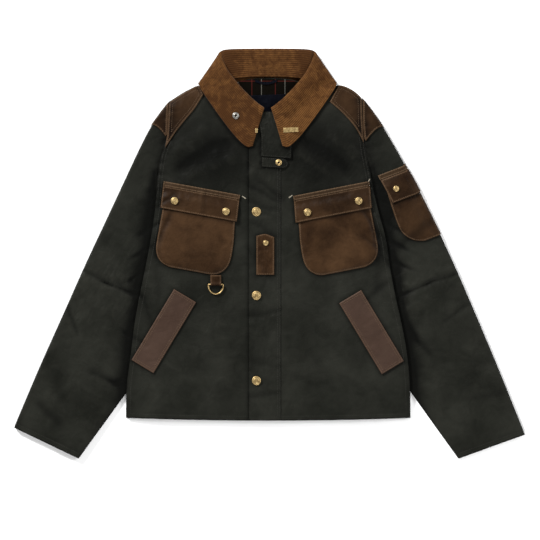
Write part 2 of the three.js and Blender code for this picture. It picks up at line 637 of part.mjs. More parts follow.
function collarMiddle(length, width, carrierTop) {
  // length runs from -1, at the wearer's right point, to 1. width runs from the seam to the edge.
  const sign = length < 0 ? -1 : 1;
  const at = (want) => station(COLLAR, Math.abs(length), want);
  const plan = (name) => [COLLAR_CENTRE_X + sign * at(`${name}Out`), at(`${name}Up`)];
  const [seam, roll, edge] = [plan("seam"), plan("roll"), plan("edge")];
  const turn = THREE.MathUtils.degToRad(at("turn"));
  const gap = at("gap");
  const rollZ = at("rollZ");
  const away = [(seam[0] + edge[0]) / 2 - roll[0], (seam[1] + edge[1]) / 2 - roll[1]];
  const reach = Math.hypot(...away);
  const a = [away[0] / reach, away[1] / reach];
  const outward = [sign * -a[1], sign * a[0]].map((n) => n * Math.sin(turn));
  const lift = Math.cos(turn);
  const centre = [roll[0] + a[0] * gap, roll[1] + a[1] * gap];
  const foot = (way) => [centre[0] + way * outward[0] * gap, centre[1] + way * outward[1] * gap, rollZ + way * lift * gap];
  const clear = (p, under) => {
    const base = topNear(carrierTop, p[0], p[1], 12) + LAID_GAP + CORD_CLOTH / 2;
    return under ? p : [p[0], p[1], Math.max(p[2], base)];
  };
  const behind = at("turn") > 95;
  if (width < STAND_SHARE) {
    const t = width / STAND_SHARE;
    const to = foot(-1);
    return clear([mix(seam[0], to[0], t), mix(seam[1], to[1], t), mix(at("seamZ"), to[2], ease(t))], behind);
  }
  if (width < STAND_SHARE + ROLL_SHARE) {
    const angle = (Math.PI * (width - STAND_SHARE)) / ROLL_SHARE;
    const [c, s] = [-Math.cos(angle), Math.sin(angle)];
    return [
      centre[0] + gap * (c * outward[0] - s * a[0]),
      centre[1] + gap * (c * outward[1] - s * a[1]),
      rollZ + gap * c * lift,
    ];
  }
  const t = (width - STAND_SHARE - ROLL_SHARE) / (1 - STAND_SHARE - ROLL_SHARE);
  const from = foot(1);
  const bottom = CORD_CLOTH / 2;
  const edgeZ = mix(bottom, 9.6, ease((150 - at("turn")) / 120));
  const z = mix(from[2], edgeZ, behind ? ease(t * 3) : ease(t * 1.25));
  return clear([mix(from[0], edge[0], t), mix(from[1], edge[1], t), behind ? Math.max(z, bottom) : z], behind);
}

function collar(carriers) {
  const carrierTop = topOf(carriers);
  const fine = (value) => Math.round(value * 1e4) / 1e4;
  const known = new Map();
  const middle = (length, width) => {
    const key = `${fine(length)}/${fine(width)}`;
    if (!known.has(key)) known.set(key, new THREE.Vector3(...collarMiddle(length, width, carrierTop)));
    return known.get(key);
  };
  const step = 0.012;
  const facing = (length, width) => {
    const run = middle(Math.min(length + step, 1), width).clone().sub(middle(Math.max(length - step, -1), width));
    const rise = middle(length, Math.min(width + step, 1)).clone().sub(middle(length, Math.max(width - step, 0)));
    return run.cross(rise).normalize();
  };
  const sections = [0, 0.15, 0.215, 0.26, 0.3, 0.34, 0.38, 0.42, 0.47, 0.55, 0.65, 0.76, 0.86, 0.94, 1];
  const lengths = [...sections.slice(1).reverse().map((s) => -s), ...sections];
  const face = (way) => (length, width) => {
    const onFloor = station(COLLAR, Math.abs(length), "turn") > 95 && width > STAND_SHARE + ROLL_SHARE;
    const raised = way > 0 && !onFloor && Math.round(width * 2 * WALES) % 2 === 1;
    const depth = CORD_CLOTH / 2 + (raised ? WALE_HEIGHT : 0);
    const p = middle(length, width).clone().addScaledVector(facing(length, width), way * depth);
    return [p.x, p.y, Math.max(p.z, 0)];
  };
  const inside = [0, 0.12, 0.24, 0.34, 0.37, 0.4, 0.43, 0.46, 0.52, 0.6, 0.7, 0.8, 0.9, 1];
  return ribbed("collar", CORDUROY, lengths, shares(2 * WALES), inside, face(1), face(-1));
}

// Pieces on the chest. A pocket's own frame starts at the inner end of its flap's top edge:
// `a` runs outwards along that edge, and `b` down the pocket.
const CHEST = {
  right: { x: -54.9, y: 109.3, tilt: 10.3, slant: 2.8 },
  left: { x: 44.1, y: 107.4, tilt: 11.1, slant: 5 },
};
const FLAP_WIDTH = 145;
const FLAP_DEPTH = 50;
const BAND_DEPTH = 8.5;
const BAG = { from: -4.5, to: 138, top: 26, bottom: 156, corner: 34, nip: 6 };

function pocketPlan(side, frame) {
  const tilt = THREE.MathUtils.degToRad(frame.tilt);
  const along = [side.sign * Math.cos(tilt), Math.sin(tilt)];
  const down = [side.sign * Math.sin(tilt), -Math.cos(tilt)];
  return (a, b) => [frame.x + along[0] * a + down[0] * b, frame.y + along[1] * a + down[1] * b];
}

// Rows of a bag with round lower corners, as shares across and down.
function bagPlan(place, bag) {
  return (u, v) => {
    const b = mix(bag.top, bag.bottom, v);
    const below = Math.max(b - (bag.bottom - bag.corner), 0) / bag.corner;
    const inset = bag.corner * (1 - Math.sqrt(Math.max(1 - below ** 2, 0.012)));
    const nipped = bag.nip * ease((95 - b) / 50);
    return place(mix(bag.from + inset + nipped, bag.to - inset, u), b);
  };
}

const puffed = (height) => (u, v) => height * roundOver(Math.min(u, 1 - u) * 7) * roundOver((1 - v) * 7);

function chestPocket(side, frontMesh) {
  const place = pocketPlan(side, CHEST[side.name]);
  const us = [0, 0.05, 0.13, 0.28, 0.5, 0.72, 0.87, 0.95, 1];
  const vs = [0, 0.22, 0.44, 0.62, 0.76, 0.86, 0.93, 0.975, 1];
  const bag = laid(`chest_pocket_${side.name}`, BROWN, us, vs, bagPlan(place, BAG), [frontMesh], {
    puff: puffed(3.2),
  });
  const slant = CHEST[side.name].slant;
  const flapPlan = (u, v) => place(mix(0, FLAP_WIDTH, u) - slant * v, mix(BAND_DEPTH + SEAM_GAP, FLAP_DEPTH, v));
  const bandPlan = (u, v) => place(mix(0, FLAP_WIDTH, u), mix(0, BAND_DEPTH, v));
  const flapUs = [0, 0.04, 0.12, 0.25, 0.38, 0.5, 0.62, 0.75, 0.88, 0.96, 1];
  const flap = laid(`chest_flap_${side.name}`, BROWN, flapUs, shares(5), flapPlan, [frontMesh, bag], { reach: 6 });
  const band = laid(`chest_flap_band_${side.name}`, BROWN_EDGE, flapUs, shares(1), bandPlan, [frontMesh], {
    puff: () => 0.8,
  });
  const studs = [
    [20.6, 35],
    [118.6, 32.6],
  ].map(([a, b], k) => stud(`chest_stud_${side.name}_${k + 1}`, place(a, b), 7, 2.6, [flap]));
  return [bag, flap, band, ...studs];
}

// Snap fasteners: a domed cap with a rim, or an open ring.
function stud(name, [x, y], radius, height, carriers) {
  const profile = [
    [0, 0],
    [radius * 0.96, 0],
    [radius, height * 0.4],
    [radius * 0.75, height * 0.88],
    [0, height],
  ];
  return turned(name, BRASS, profile, 12, x, y, seat(carriers, x, y, radius));
}

function openStud(name, material, [x, y], radius, hole, height, carriers) {
  const profile = [
    [hole, 0],
    [radius * 0.95, 0],
    [radius, height * 0.3],
    [(radius + hole) / 2, height],
    [hole, height * 0.55],
    [hole, 0],
  ];
  return turned(name, material, profile, 12, x, y, seat(carriers, x, y, radius));
}

function turned(name, material, profile, sides, x, y, z) {
  const geometry = new THREE.LatheGeometry(
    profile.map(([r, h]) => new THREE.Vector2(r, h)),
    sides,
  );
  geometry.rotateX(Math.PI / 2);
  geometry.translate(x, y, z);
  const mesh = new THREE.Mesh(geometry, material);
  mesh.name = name;
  return mesh;
}

// The height at which a flat-bottomed piece of that radius clears what carries it.
function seat(carriers, x, y, radius) {
  const top = topOf(carriers);
  let z = top(x, y);
  for (let k = 0; k < 12; k += 1) {
    const angle = (Math.PI * k) / 6;
    for (const r of [radius, radius / 2]) z = Math.max(z, top(x + r * Math.cos(angle), y + r * Math.sin(angle)));
  }
  return z + SEAM_GAP;
}

// Welts of the slanted hand pockets.
const WELT = { length: 155, width: 48, lean: 31 };
const WELT_TOP = { right: { x: -178.5, y: -66.6 }, left: { x: 171.6, y: -68.4 } };

function welt(side, frontMesh) {
  const lean = THREE.MathUtils.degToRad(WELT.lean);
  const down = [side.sign * Math.sin(lean), -Math.cos(lean)];
  const inward = [-side.sign * Math.cos(lean), -Math.sin(lean)];
  const top = WELT_TOP[side.name];
  const plan = (u, v) => [
    top.x + down[0] * WELT.length * v + inward[0] * WELT.width * u,
    top.y + down[1] * WELT.length * v + inward[1] * WELT.width * u,
  ];
  return laid(`hand_pocket_welt_${side.name}`, BROWN, shares(4), shares(9), plan, [frontMesh], { reach: 6 });
}

// Shoulder patches. The front part lies on the front panel between collar and armhole.
const PATCH_EDGE = {
  right: [
    { out: 124, up: 298 },
    { out: 139.7, up: 271.5 },
    { out: 153.8, up: 255 },
    { out: 174.8, up: 229 },
    { out: 195, up: 198 },
  ],
  left: [
    { out: 113, up: 284 },
    { out: 138, up: 262 },
    { out: 160, up: 237 },
    { out: 172, up: 217 },
    { out: 176, up: 207 },
  ],
};
const PATCH_LEAN = 0.55; // how fast its inner edge, beside the collar, runs outwards on the way up

function shoulderPatch(side, frontMesh) {
  const edge = PATCH_EDGE[side.name];
  const corner = edge[0];
  const toOut = edge[edge.length - 1].out;
  const plan = (u, v) => {
    const lowOut = mix(corner.out, toOut, u);
    const lowUp = read(edge, "out", lowOut, "up");
    const highOut = mix(corner.out + PATCH_LEAN * (314 - corner.up), side.shoulder[5].out, u);
    const highUp = read(side.shoulder, "out", highOut, "up") - 1.2;
    const y = mix(lowUp, highUp, v);
    return [side.sign * Math.min(mix(lowOut, highOut, v), sideOut(side, y) - 0.9), y];
  };
  const vs = [0, 0.25, 0.5, 0.7, 0.85, 0.94, 1];
  return laid(`shoulder_patch_${side.name}`, BROWN, shares(8), vs, plan, [frontMesh], { reach: 3 });
}

// The part on the sleeve head wraps over the outer fold.
const HEAD_PATCH = {
  right: { foldShare: 0.195, reach: 64 },
  left: { foldShare: 0.21, reach: 80 },
};

function headPatch(side, sleeveMesh) {
  const { foldShare, reach } = HEAD_PATCH[side.name];
  const start = 0.006;
  const run = (a, b) => {
    const from = mix(FOLD_UNDER, reach, a);
    const share = mix(foldShare, 0.02, clamp(from / reach, 0, 1));
    return { from, v: mix(start, share, b) };
  };
  // Its rows at the fold are the sleeve's own.
  const rows = SLEEVE_ROWS.filter((row) => row > start && row < foldShare - 0.01);
  const vs = [0, ...rows.map((row) => (row - start) / (foldShare - start)), 1];
  const us = [0, 0.042, 0.08, 0.12, 0.162, 0.27, 0.4, 0.55, 0.7, 0.85, 0.97];
  return wrapped(`sleeve_head_patch_${side.name}`, BROWN, side, sleeveMesh, us, vs, run, {
    // It stands a little higher at the seam, where the sleeve's own rows are not so close.
    puff: (a, b) => 0.4 * (1 - ease(b * 4)),
  });
}

// Sleeve pocket on the wearer's left sleeve, half round its outer fold. Shares of the sleeve's length.
const SLEEVE_POCKET = { bandTop: 0.346, flapTop: 0.363, flapEnd: 0.43, bagTop: 0.39, bagEnd: 0.532 };
const POCKET_HEADING = [-0.934, -0.357];

function sleevePocket(sleeveMesh) {
  const { bandTop, flapTop, flapEnd, bagTop, bagEnd } = SLEEVE_POCKET;
  const across = [0, 0.05, 0.09, 0.13, 0.17, 0.24, 0.34, 0.48, 0.62, 0.78, 0.92, 1];
  const heading = POCKET_HEADING;
  const bagRun = (a, b) => {
    const past = Math.max((b - 0.66) / 0.34, 0);
    const reach = mix(56, 69, clamp(b / 0.7, 0, 1)) - 38 * (1 - Math.sqrt(Math.max(1 - past ** 2, 0.02)));
    return { from: mix(FOLD_UNDER, reach, a), v: mix(bagTop, bagEnd, b), heading };
  };
  const bag = wrapped("sleeve_pocket", BROWN, LEFT, sleeveMesh, across, [0, 0.3, 0.55, 0.74, 0.87, 0.95, 1], bagRun, {
    puff: (a, b) => 2.2 * roundOver((1 - a) * 6) * ease((a - 0.2) * 4) * roundOver((1 - b) * 7),
  });
  const flapRun = (a, b) => ({ from: mix(FOLD_UNDER, mix(58, 57, b), a), v: mix(flapTop, flapEnd, b), heading });
  const flap = wrapped("sleeve_flap", BROWN, LEFT, sleeveMesh, across, shares(5), flapRun, {
    puff: (a, b) => (LAID_GAP + TRIM + 2.3 * ease((a - 0.14) * 4)) * ease(b * 3),
  });
  const bandRun = (a, b) => ({ from: mix(FOLD_UNDER, 58.5, a), v: mix(bandTop, flapTop - 0.0015, b), heading });
  const band = wrapped("sleeve_flap_band", BROWN_EDGE, LEFT, sleeveMesh, across, shares(1), bandRun);
  return [bag, flap, band];
}

// Placket and what is on it
const PLACKET = { left: 21.6, right: -38.4, top: 252 };

function placket(fronts) {
  const plan = (u, v) => {
    const x = mix(PLACKET.right, PLACKET.left, u);
    return [x, mix(hemUp(x) + 0.6, PLACKET.top, v)];
  };
  return laid("placket", WAXED, shares(3), shares(22), plan, fronts, { reach: 7 });
}

// Its upper part stands out over the neck opening, level with the part that the placket carries.
const NECK_FLAP_LEVEL = 13.3;

function neckFlap(carriers) {
  const plan = (u, v) => {
    const narrowed = ease((v - 0.45) / 0.5);
    return [mix(mix(-15.5, -24, narrowed), mix(41, 8, narrowed), u), mix(181.5 - 4 * u, 266.5 - 2 * u, v)];
  };
  return laid("neck_flap", WAXED, shares(5), shares(8), plan, carriers, { reach: 9, least: NECK_FLAP_LEVEL });
}

function throatTab(carriers) {
  const plan = (u, v) => {
    const x = mix(-14, 35, u);
    const past = clamp((x - 25.5) / 9.5, 0, 1);
    const halfWidth = 9 * Math.sqrt(Math.max(1 - past ** 2, 0.03));
    return [x, 171 - 3 * u + mix(-halfWidth, halfWidth, v)];
  };
  const us = [0, 0.2, 0.4, 0.6, 0.78, 0.87, 0.94, 0.98, 1];
  return laid("throat_tab", WAXED, us, shares(4), plan, carriers, { reach: 5 });
}

function placketTab(carriers) {
  const plan = (u, v) => {
    const x = mix(-24.4, 8.8, u);
    const peak = 38.4 - 5.5 * Math.abs(2 * u - 1) - 2.4 * u;
    return [x, mix(-40, peak, v)];
  };
  return laid("placket_tab", BROWN, shares(4), shares(6), plan, carriers, { reach: 6 });
}

// The ring and its tab hang under the wearer's right chest pocket.
const RING = { x: -100.4, barY: -57.5, wire: 1.4, width: 28.5, drop: 18.5, tabWidth: 20, tabTopY: -40.6 };
const RING_CLEARANCE = 0.12;
const TAB_WALL = 1.2;

function ringAndTab(frontMesh) {
  const eye = RING.wire + RING_CLEARANCE;
  const loopRadius = eye + TAB_WALL;
  const barZ = seat([frontMesh], RING.x, RING.barY, 14) + loopRadius;
  const outline = new THREE.Shape();
  const length = RING.tabTopY - RING.barY;
  outline.moveTo(length, -loopRadius);
  outline.lineTo(length, -loopRadius + 2 * TAB_WALL);
  outline.lineTo(loopRadius * 1.5, -loopRadius + 2.4 * TAB_WALL);
  outline.absarc(0, 0, loopRadius, 0.5, 1.5 * Math.PI, false);
  const hole = new THREE.Path();
  hole.absarc(0, 0, eye, 0, 2 * Math.PI, true);
  outline.holes.push(hole);
  const geometry = new THREE.ExtrudeGeometry(outline, { depth: RING.tabWidth, bevelEnabled: false, curveSegments: 8 });
  geometry.rotateX(Math.PI / 2);
  geometry.rotateZ(Math.PI / 2);
  geometry.translate(RING.x - RING.tabWidth / 2, RING.barY, barZ);
  const tab = new THREE.Mesh(geometry, BROWN);
  tab.name = "ring_tab";
  const tilt = Math.asin((loopRadius - RING.wire) / RING.drop) * 0.8;
  const path = [];
  const add = (x, down) => path.push([RING.x + x, RING.barY - down * Math.cos(tilt), barZ - down * Math.sin(tilt)]);
  const halfWidth = RING.width / 2;
  for (let k = 0; k <= 4; k += 1) add(mix(-halfWidth + 2.4, halfWidth - 2.4, k / 4), 0);
  add(halfWidth - 0.6, 0.7);
  for (let k = 0; k <= 10; k += 1) {
    const angle = (Math.PI * k) / 10;
    add(halfWidth * Math.cos(angle), 2.8 + (RING.drop - 2.8) * Math.sin(angle));
  }
  add(-halfWidth + 0.6, 0.7);
  return [tab, loop("d_ring", BRASS, path, RING.wire, 8)];
}

// Inside the neck: the lining that shows, the bare label and the hanging loop.
function neckInside(backMesh) {
  const liningPlan = (u, v) => {
    const x = COLLAR_CENTRE_X + mix(-70, 70, u);
    return [x, mix(246, 327 - 12 * (2 * u - 1) ** 4, v)];
  };
  const lining = laid("neck_lining", LINING, shares(8), shares(7), liningPlan, [backMesh], { thick: 1, reach: 3 });
  const labelPlan = (u, v) => [mix(-36, 44, u), mix(254, 296, v) + 3 * u];
  const label = laid("neck_label", NAVY, shares(5), shares(5), labelPlan, [lining], { thick: 0.9, reach: 3 });
  const loopPlan = (u, v) => {
    const x = mix(-27, 14, u);
    return [x, 326 - 5 * Math.sin(Math.PI * u) - mix(0, 5, v)];
  };
  const hanger = laid("hanging_loop", NAVY, shares(8), shares(1), loopPlan, [lining], { thick: 1, reach: 2 });
  return [lining, label, hanger];
}

function collarTrims(collarMesh) {
  const eyelet = openStud("collar_eyelet", NICKEL, [-63, 257.8], 6.4, 2.4, 1.6, [collarMesh]);
  const platePlan = (u, v) => [26 + 28 * u, mix(226, 234.6, v) + 1.4 * u];
  const plate = laid("collar_plate", BRASS, shares(1), shares(1), platePlan, [collarMesh], { thick: 1, level: true });
  const hookPlan = (u, v) => [mix(-26.5, -22, u), mix(225.5, 233.5, v)];
  const hook = laid("collar_hook", BRASS, shares(1), shares(1), hookPlan, [collarMesh], { thick: 1, level: true });
  return [eyelet, plate, hook];
}

const jacket = new THREE.Group();
jacket.name = "jacket";
const backPanel = back();
const frontRight = front(RIGHT, backPanel);
const frontLeft = front(LEFT, backPanel);
const fronts = [frontRight, frontLeft];
const placketStrip = placket(fronts);
const neckFlapPiece = neckFlap([placketStrip, ...fronts]);
const throatTabPiece = throatTab([placketStrip, frontLeft]);
const placketTabPiece = placketTab([placketStrip]);
const patches = [shoulderPatch(RIGHT, frontRight), shoulderPatch(LEFT, frontLeft)];
const collarPiece = collar([...fronts, ...patches, placketStrip, neckFlapPiece]);
const sleeves = HALVES.map(sleeve);
const pocketOnSleeve = sleevePocket(sleeves[1]);
jacket.add(backPanel, ...fronts, ...sleeves, ...patches);
jacket.add(headPatch(RIGHT, sleeves[0]), headPatch(LEFT, sleeves[1]));
jacket.add(placketStrip, neckFlapPiece, throatTabPiece, placketTabPiece, collarPiece);
jacket.add(...chestPocket(RIGHT, frontRight), ...chestPocket(LEFT, frontLeft));
jacket.add(welt(RIGHT, frontRight), welt(LEFT, frontLeft), ...pocketOnSleeve);
jacket.add(...ringAndTab(frontRight), ...neckInside(backPanel), ...collarTrims(collarPiece));
[78, -78.6, -238].forEach((y, k) => {
  jacket.add(stud(`placket_stud_${k + 1}`, [-24.4, y], 8.6, 3, [placketStrip]));
});
jacket.add(stud("placket_tab_stud", [-7.1, 19.7], 5.2, 2.2, [placketTabPiece]));
jacket.add(stud("sleeve_stud", [237, 121], 5.6, 2.2, [pocketOnSleeve[1]]));
jacket.add(openStud("throat_stud", BRASS, [17.3, 170], 6, 1.8, 2.2, [throatTabPiece]));

// The origin is the middle of the jacket's outline, on the surface that it lies on.
const outline = new THREE.Box3().setFromObject(jacket);
const middle = outline.getCenter(new THREE.Vector3());
for (const piece of jacket.children) piece.geometry.translate(-middle.x, -middle.y, -outline.min.z);

export default jacket;
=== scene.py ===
"""The looks of a waxed cotton field jacket that lies flat on its back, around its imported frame."""
import math

import bmesh
import bpy
import numpy as np
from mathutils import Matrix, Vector
from mathutils.bvhtree import BVHTree
from mathutils.kdtree import KDTree


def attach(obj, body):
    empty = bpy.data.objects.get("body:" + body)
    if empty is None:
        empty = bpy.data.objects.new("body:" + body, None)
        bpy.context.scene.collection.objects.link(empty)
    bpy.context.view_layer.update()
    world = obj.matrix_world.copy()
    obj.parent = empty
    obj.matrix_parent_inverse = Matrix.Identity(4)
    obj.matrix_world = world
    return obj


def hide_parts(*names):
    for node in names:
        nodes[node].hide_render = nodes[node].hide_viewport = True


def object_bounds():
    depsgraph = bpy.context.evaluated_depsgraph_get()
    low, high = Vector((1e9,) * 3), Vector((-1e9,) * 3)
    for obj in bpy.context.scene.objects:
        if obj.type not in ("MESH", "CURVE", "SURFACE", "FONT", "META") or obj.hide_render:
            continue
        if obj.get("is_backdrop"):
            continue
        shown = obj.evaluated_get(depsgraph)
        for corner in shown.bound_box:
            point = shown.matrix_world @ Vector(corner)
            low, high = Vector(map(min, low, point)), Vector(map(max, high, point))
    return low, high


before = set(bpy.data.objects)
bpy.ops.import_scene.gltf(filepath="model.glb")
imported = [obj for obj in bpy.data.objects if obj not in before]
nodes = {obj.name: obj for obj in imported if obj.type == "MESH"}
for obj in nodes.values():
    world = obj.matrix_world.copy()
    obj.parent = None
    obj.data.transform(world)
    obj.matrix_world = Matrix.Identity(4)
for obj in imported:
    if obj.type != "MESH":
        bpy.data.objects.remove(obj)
cad_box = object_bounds()
MM = 0.001
LONGEST_EDGE = 4.0 * MM
SAME_PLACE = 2e-6  # corners of a solid that are nearer than this are one
ABOVE_ALL = 99.0  # higher than anything here, and further than any edge
FLOOR_SIDE = 1.5  # what lies lower than this faces the floor


# Materials


class Wire:
    """A value in a material. Python's own operators add the Math nodes."""

    def __init__(self, finish, socket):
        self.finish = finish
        self.socket = socket

    def _math(self, operation, first, second):
        return self.finish.node("ShaderNodeMath", {"operation": operation}, {0: first, 1: second})

    def __add__(self, other):
        return self._math("ADD", self, other)

    def __sub__(self, other):
        return self._math("SUBTRACT", self, other)

    def __rsub__(self, other):
        return self._math("SUBTRACT", other, self)

    def __mul__(self, other):
        return self._math("MULTIPLY", self, other)

    def __truediv__(self, other):
        return self._math("DIVIDE", self, other)

    def __lt__(self, other):
        return self._math("LESS_THAN", self, other)

    def __mod__(self, other):
        return self._math("FLOORED_MODULO", self, other)

    def __abs__(self):
        return self._math("ABSOLUTE", self, 0.0)

    __radd__ = __add__
    __rmul__ = __mul__


class Finish:
    """A material around one Principled shader, whose steady values are set on its own sockets."""

    def __init__(self, name, **steady):
        self.material = bpy.data.materials.new(name)
        self.material.use_nodes = True
        self.tree = self.material.node_tree
        self.shader = self.tree.nodes["Principled BSDF"]
        self.place = self.node("ShaderNodeTexCoord", out="Object")
        for socket, value in steady.items():
            self.shader.inputs[socket.replace("_", " ")].default_value = value

    def node(self, kind, settings=None, values=None, out=0):
        made = self.tree.nodes.new(kind)
        for key, value in (settings or {}).items():
            setattr(made, key, value)
        for key, value in (values or {}).items():
            self.join(value, made.inputs[key])
        return Wire(self, made.outputs[out])

    def join(self, value, socket):
        if isinstance(value, Wire):
            self.tree.links.new(value.socket, socket)
        elif isinstance(value, tuple) and len(value) == 3 and socket.type == "RGBA":
            socket.default_value = (*value, 1)
        else:
            socket.default_value = value

    def feed(self, **values):
        for socket, value in values.items():
            self.join(value, self.shader.inputs[socket.replace("_", " ")])
        return self

    def noise(self, size, detail=2.0, roughness=0.5, warp=0.0):
        """Noise from 0 to 1 with lumps of that size, in millimetres."""
        values = {"Vector": self.place, "Scale": 1 / (size * MM), "Detail": detail, "Roughness": roughness}
        return self.node("ShaderNodeTexNoise", None, {**values, "Distortion": warp})

    def marked(self, name):
        """What the cloth was marked with while it was made."""
        return self.node("ShaderNodeAttribute", {"attribute_name": name}, out="Fac")

    def between(self, low, high, share):
        values = {0: share, 6: low, 7: high}
        return self.node("ShaderNodeMix", {"data_type": "RGBA"}, values, out=2)

    def spread(self, value, low, high):
        """Stretches the part of a value between low and high to 0 to 1."""
        values = {0: value, 1: low, 2: high, 3: 0.0, 4: 1.0}
        return self.node("ShaderNodeMapRange", {"clamp": True}, values)

    def bump(self, height, depth, strength=1.0):
        values = {"Height": height, "Distance": depth * MM, "Strength": strength}
        return self.feed(Normal=self.node("ShaderNodeBump", None, values))


def waxed_cloth(name, dark, light, wear_and_highlight, gleam, edge_wear):
    """Close-woven waxed cotton: it mottles where the wax is thin and pales with wear on its edges. Its
    raised folds are painted paler too, a painted highlight, and it is painted darker where it is marked:
    painted shade, and the darker wax of some pieces.
    """
    finish = Finish(name, Specular_IOR_Level=gleam)
    wax = finish.noise(85, 4.0, 0.5, 0.5)
    handled = finish.noise(26, 3.0, 0.5, 0.9)
    grain = finish.noise(2.6, 3.0, 0.6)
    crumple = finish.noise(30, 2.0, 0.45, 1.4)
    mottle = finish.spread(wax * 0.6 + handled * 0.26 + grain * 0.14, 0.36, 0.64)
    body = finish.between(dark, light, mottle)
    # Painted shade from the marked places (creases, seams, sides, edges and the shadows of pieces lying on
    # it), with the darker wax of some pieces.
    body = finish.between(body, tuple(0.3 * part for part in dark), finish.marked("painted_shade_and_wax") * 0.8)
    # The raised folds are painted paler: a painted highlight, mixed in with the wear on the edges.
    raised_folds = finish.spread(finish.marked("ridge"), 0.5, 1.0)
    wear_and_highlight_share = finish.marked("rim") * edge_wear * (0.45 + grain) + raised_folds * handled * 0.3
    finish.feed(Base_Color=finish.between(body, wear_and_highlight, finish.spread(wear_and_highlight_share, 0.08, 1.0)))
    finish.feed(Roughness=0.42 + wax * 0.2 + grain * 0.08)
    return finish.bump(crumple * 0.9 + handled * 0.4 + grain * 0.1, 2.2, 0.7).material


def corduroy_cloth(name, valley, ridge, bright):
    """Corduroy: its colour is painted darker in the valleys between the ribs and lighter on their tops,
    painted shade and painted highlight, and the pile leans a little here and there.
    """
    finish = Finish(name, Specular_IOR_Level=0.05, Sheen_Weight=0.05, Sheen_Roughness=0.5)
    pile = finish.noise(1.5, 3.0, 0.6)
    lean = finish.noise(13, 4.0, 0.66, 0.6)
    rib = finish.spread(finish.marked("rib") * 0.75 + pile * 0.55, 0.15, 1.05)
    # The marked leaf tone makes one leaf paler and paints shade on the band's ends.
    tone = finish.spread(lean * 0.8 + pile * 0.2 + finish.marked("leaf_tone_and_band_shade") * 0.12, 0.4, 0.64)
    top = finish.between(ridge, bright, tone)
    finish.feed(Base_Color=finish.between(valley, top, rib), Roughness=0.86 + pile * 0.1)
    return finish.bump(pile, 0.4, 0.7).material


def checked_lining():
    """A plain open check of pale and rust lines on dark olive."""
    finish = Finish("checked_lining", Roughness=0.85, Specular_IOR_Level=0.02)
    across, along = (finish.node("ShaderNodeSeparateXYZ", None, {0: finish.place}, out=k) for k in range(2))

    def lines(way, start, half_width, repeat=44.0):
        centred = abs((way + 1.0 + start * MM) % (repeat * MM) - repeat * MM / 2)
        return centred < half_width * MM

    # The ground is dark olive, painted darker still for the shade inside the neck: partly painted shade.
    ground = finish.between((0.0007, 0.0006, 0.0004), (0.0034, 0.0026, 0.0014), finish.noise(1.2))
    pale = lines(across, 5, 0.7) + lines(along, 4, 0.7)
    rust = lines(across, 23, 0.7) + lines(along, 19, 0.7)
    toned = finish.between(ground, (0.06, 0.009, 0.007), finish.spread(rust, 0.0, 1.8))
    finish.feed(Base_Color=finish.between(toned, (0.1, 0.094, 0.08), finish.spread(pale, 0.0, 1.7)))
    return finish.bump(finish.noise(0.8), 0.15, 0.5).material


def woven_tape(name, colour, light):
    finish = Finish(name, Specular_IOR_Level=0.03)
    thread = finish.noise(0.9, 2.0)
    finish.feed(Base_Color=finish.between(colour, light, thread), Roughness=0.6 + thread * 0.2)
    return finish.bump(thread, 0.2, 0.6).material


def old_metal(name, dark, bright, roughness=0.38):
    finish = Finish(name, Metallic=1.0)
    tarnish = finish.noise(3.5, 4.0, 0.6)
    shade = finish.spread(tarnish, 0.3, 0.62)
    # The marked hollows are painted near black: painted shade.
    shown = finish.between(finish.between(dark, bright, shade), (0.02, 0.016, 0.01), finish.marked("painted_hollow_shade"))
    finish.feed(Base_Color=shown, Roughness=roughness + tarnish * 0.22)
    return finish.bump(finish.noise(0.8), 0.05, 0.4).material


def thread(name, colour, light):
    finish = Finish(name, Roughness=0.6, Specular_IOR_Level=0.2)
    finish.feed(Base_Color=finish.between(colour, light, finish.noise(4.0)))
    return finish.material


def studio_floor():
    finish = Finish("studio_floor", Roughness=0.9, Specular_IOR_Level=0.1)
    finish.feed(Base_Color=finish.between((0.93, 0.93, 0.93), (0.96, 0.96, 0.96), finish.noise(300)))
    return finish.material


OLIVE = waxed_cloth(
    "olive_waxed_cotton",
    (0.0057, 0.006, 0.0045), (0.0136, 0.0139, 0.0109), (0.022, 0.0215, 0.0165), 0.045, 0.14,
)
BROWN = waxed_cloth(
    "brown_waxed_cotton", (0.0096, 0.0041, 0.0014), (0.0405, 0.0202, 0.0086), (0.07, 0.04, 0.021), 0.05, 0.8
)
BROWN_BAND = waxed_cloth(
    "brown_band", (0.025, 0.0135, 0.006), (0.048, 0.0275, 0.0138), (0.09, 0.056, 0.031), 0.06, 0.9
)
WELT = waxed_cloth(
    "brown_welt", (0.028, 0.0155, 0.0105), (0.038, 0.0222, 0.0155), (0.062, 0.035, 0.022), 0.09, 0.6
)
CORDUROY = corduroy_cloth(
    "corduroy", (0.022, 0.0078, 0.0018), (0.042, 0.0158, 0.0036), (0.108, 0.0465, 0.0125)
)
LINING = checked_lining()
NAVY = woven_tape("navy_tape", (0.0006, 0.0008, 0.002), (0.0018, 0.0021, 0.0042))
BRASS = old_metal("aged_brass", (0.2, 0.125, 0.048), (0.52, 0.385, 0.18))
NICKEL = old_metal("aged_nickel", (0.1, 0.097, 0.088), (0.3, 0.29, 0.265))
OLIVE_THREAD = thread("olive_thread", (0.012, 0.0115, 0.0085), (0.022, 0.021, 0.016))
BROWN_THREAD = thread("brown_thread", (0.052, 0.029, 0.014), (0.1, 0.061, 0.032))
PALE_THREAD = thread("pale_thread", (0.17, 0.15, 0.11), (0.3, 0.27, 0.21))


# The way that the cloth lies. Lengths are in millimetres from here on.

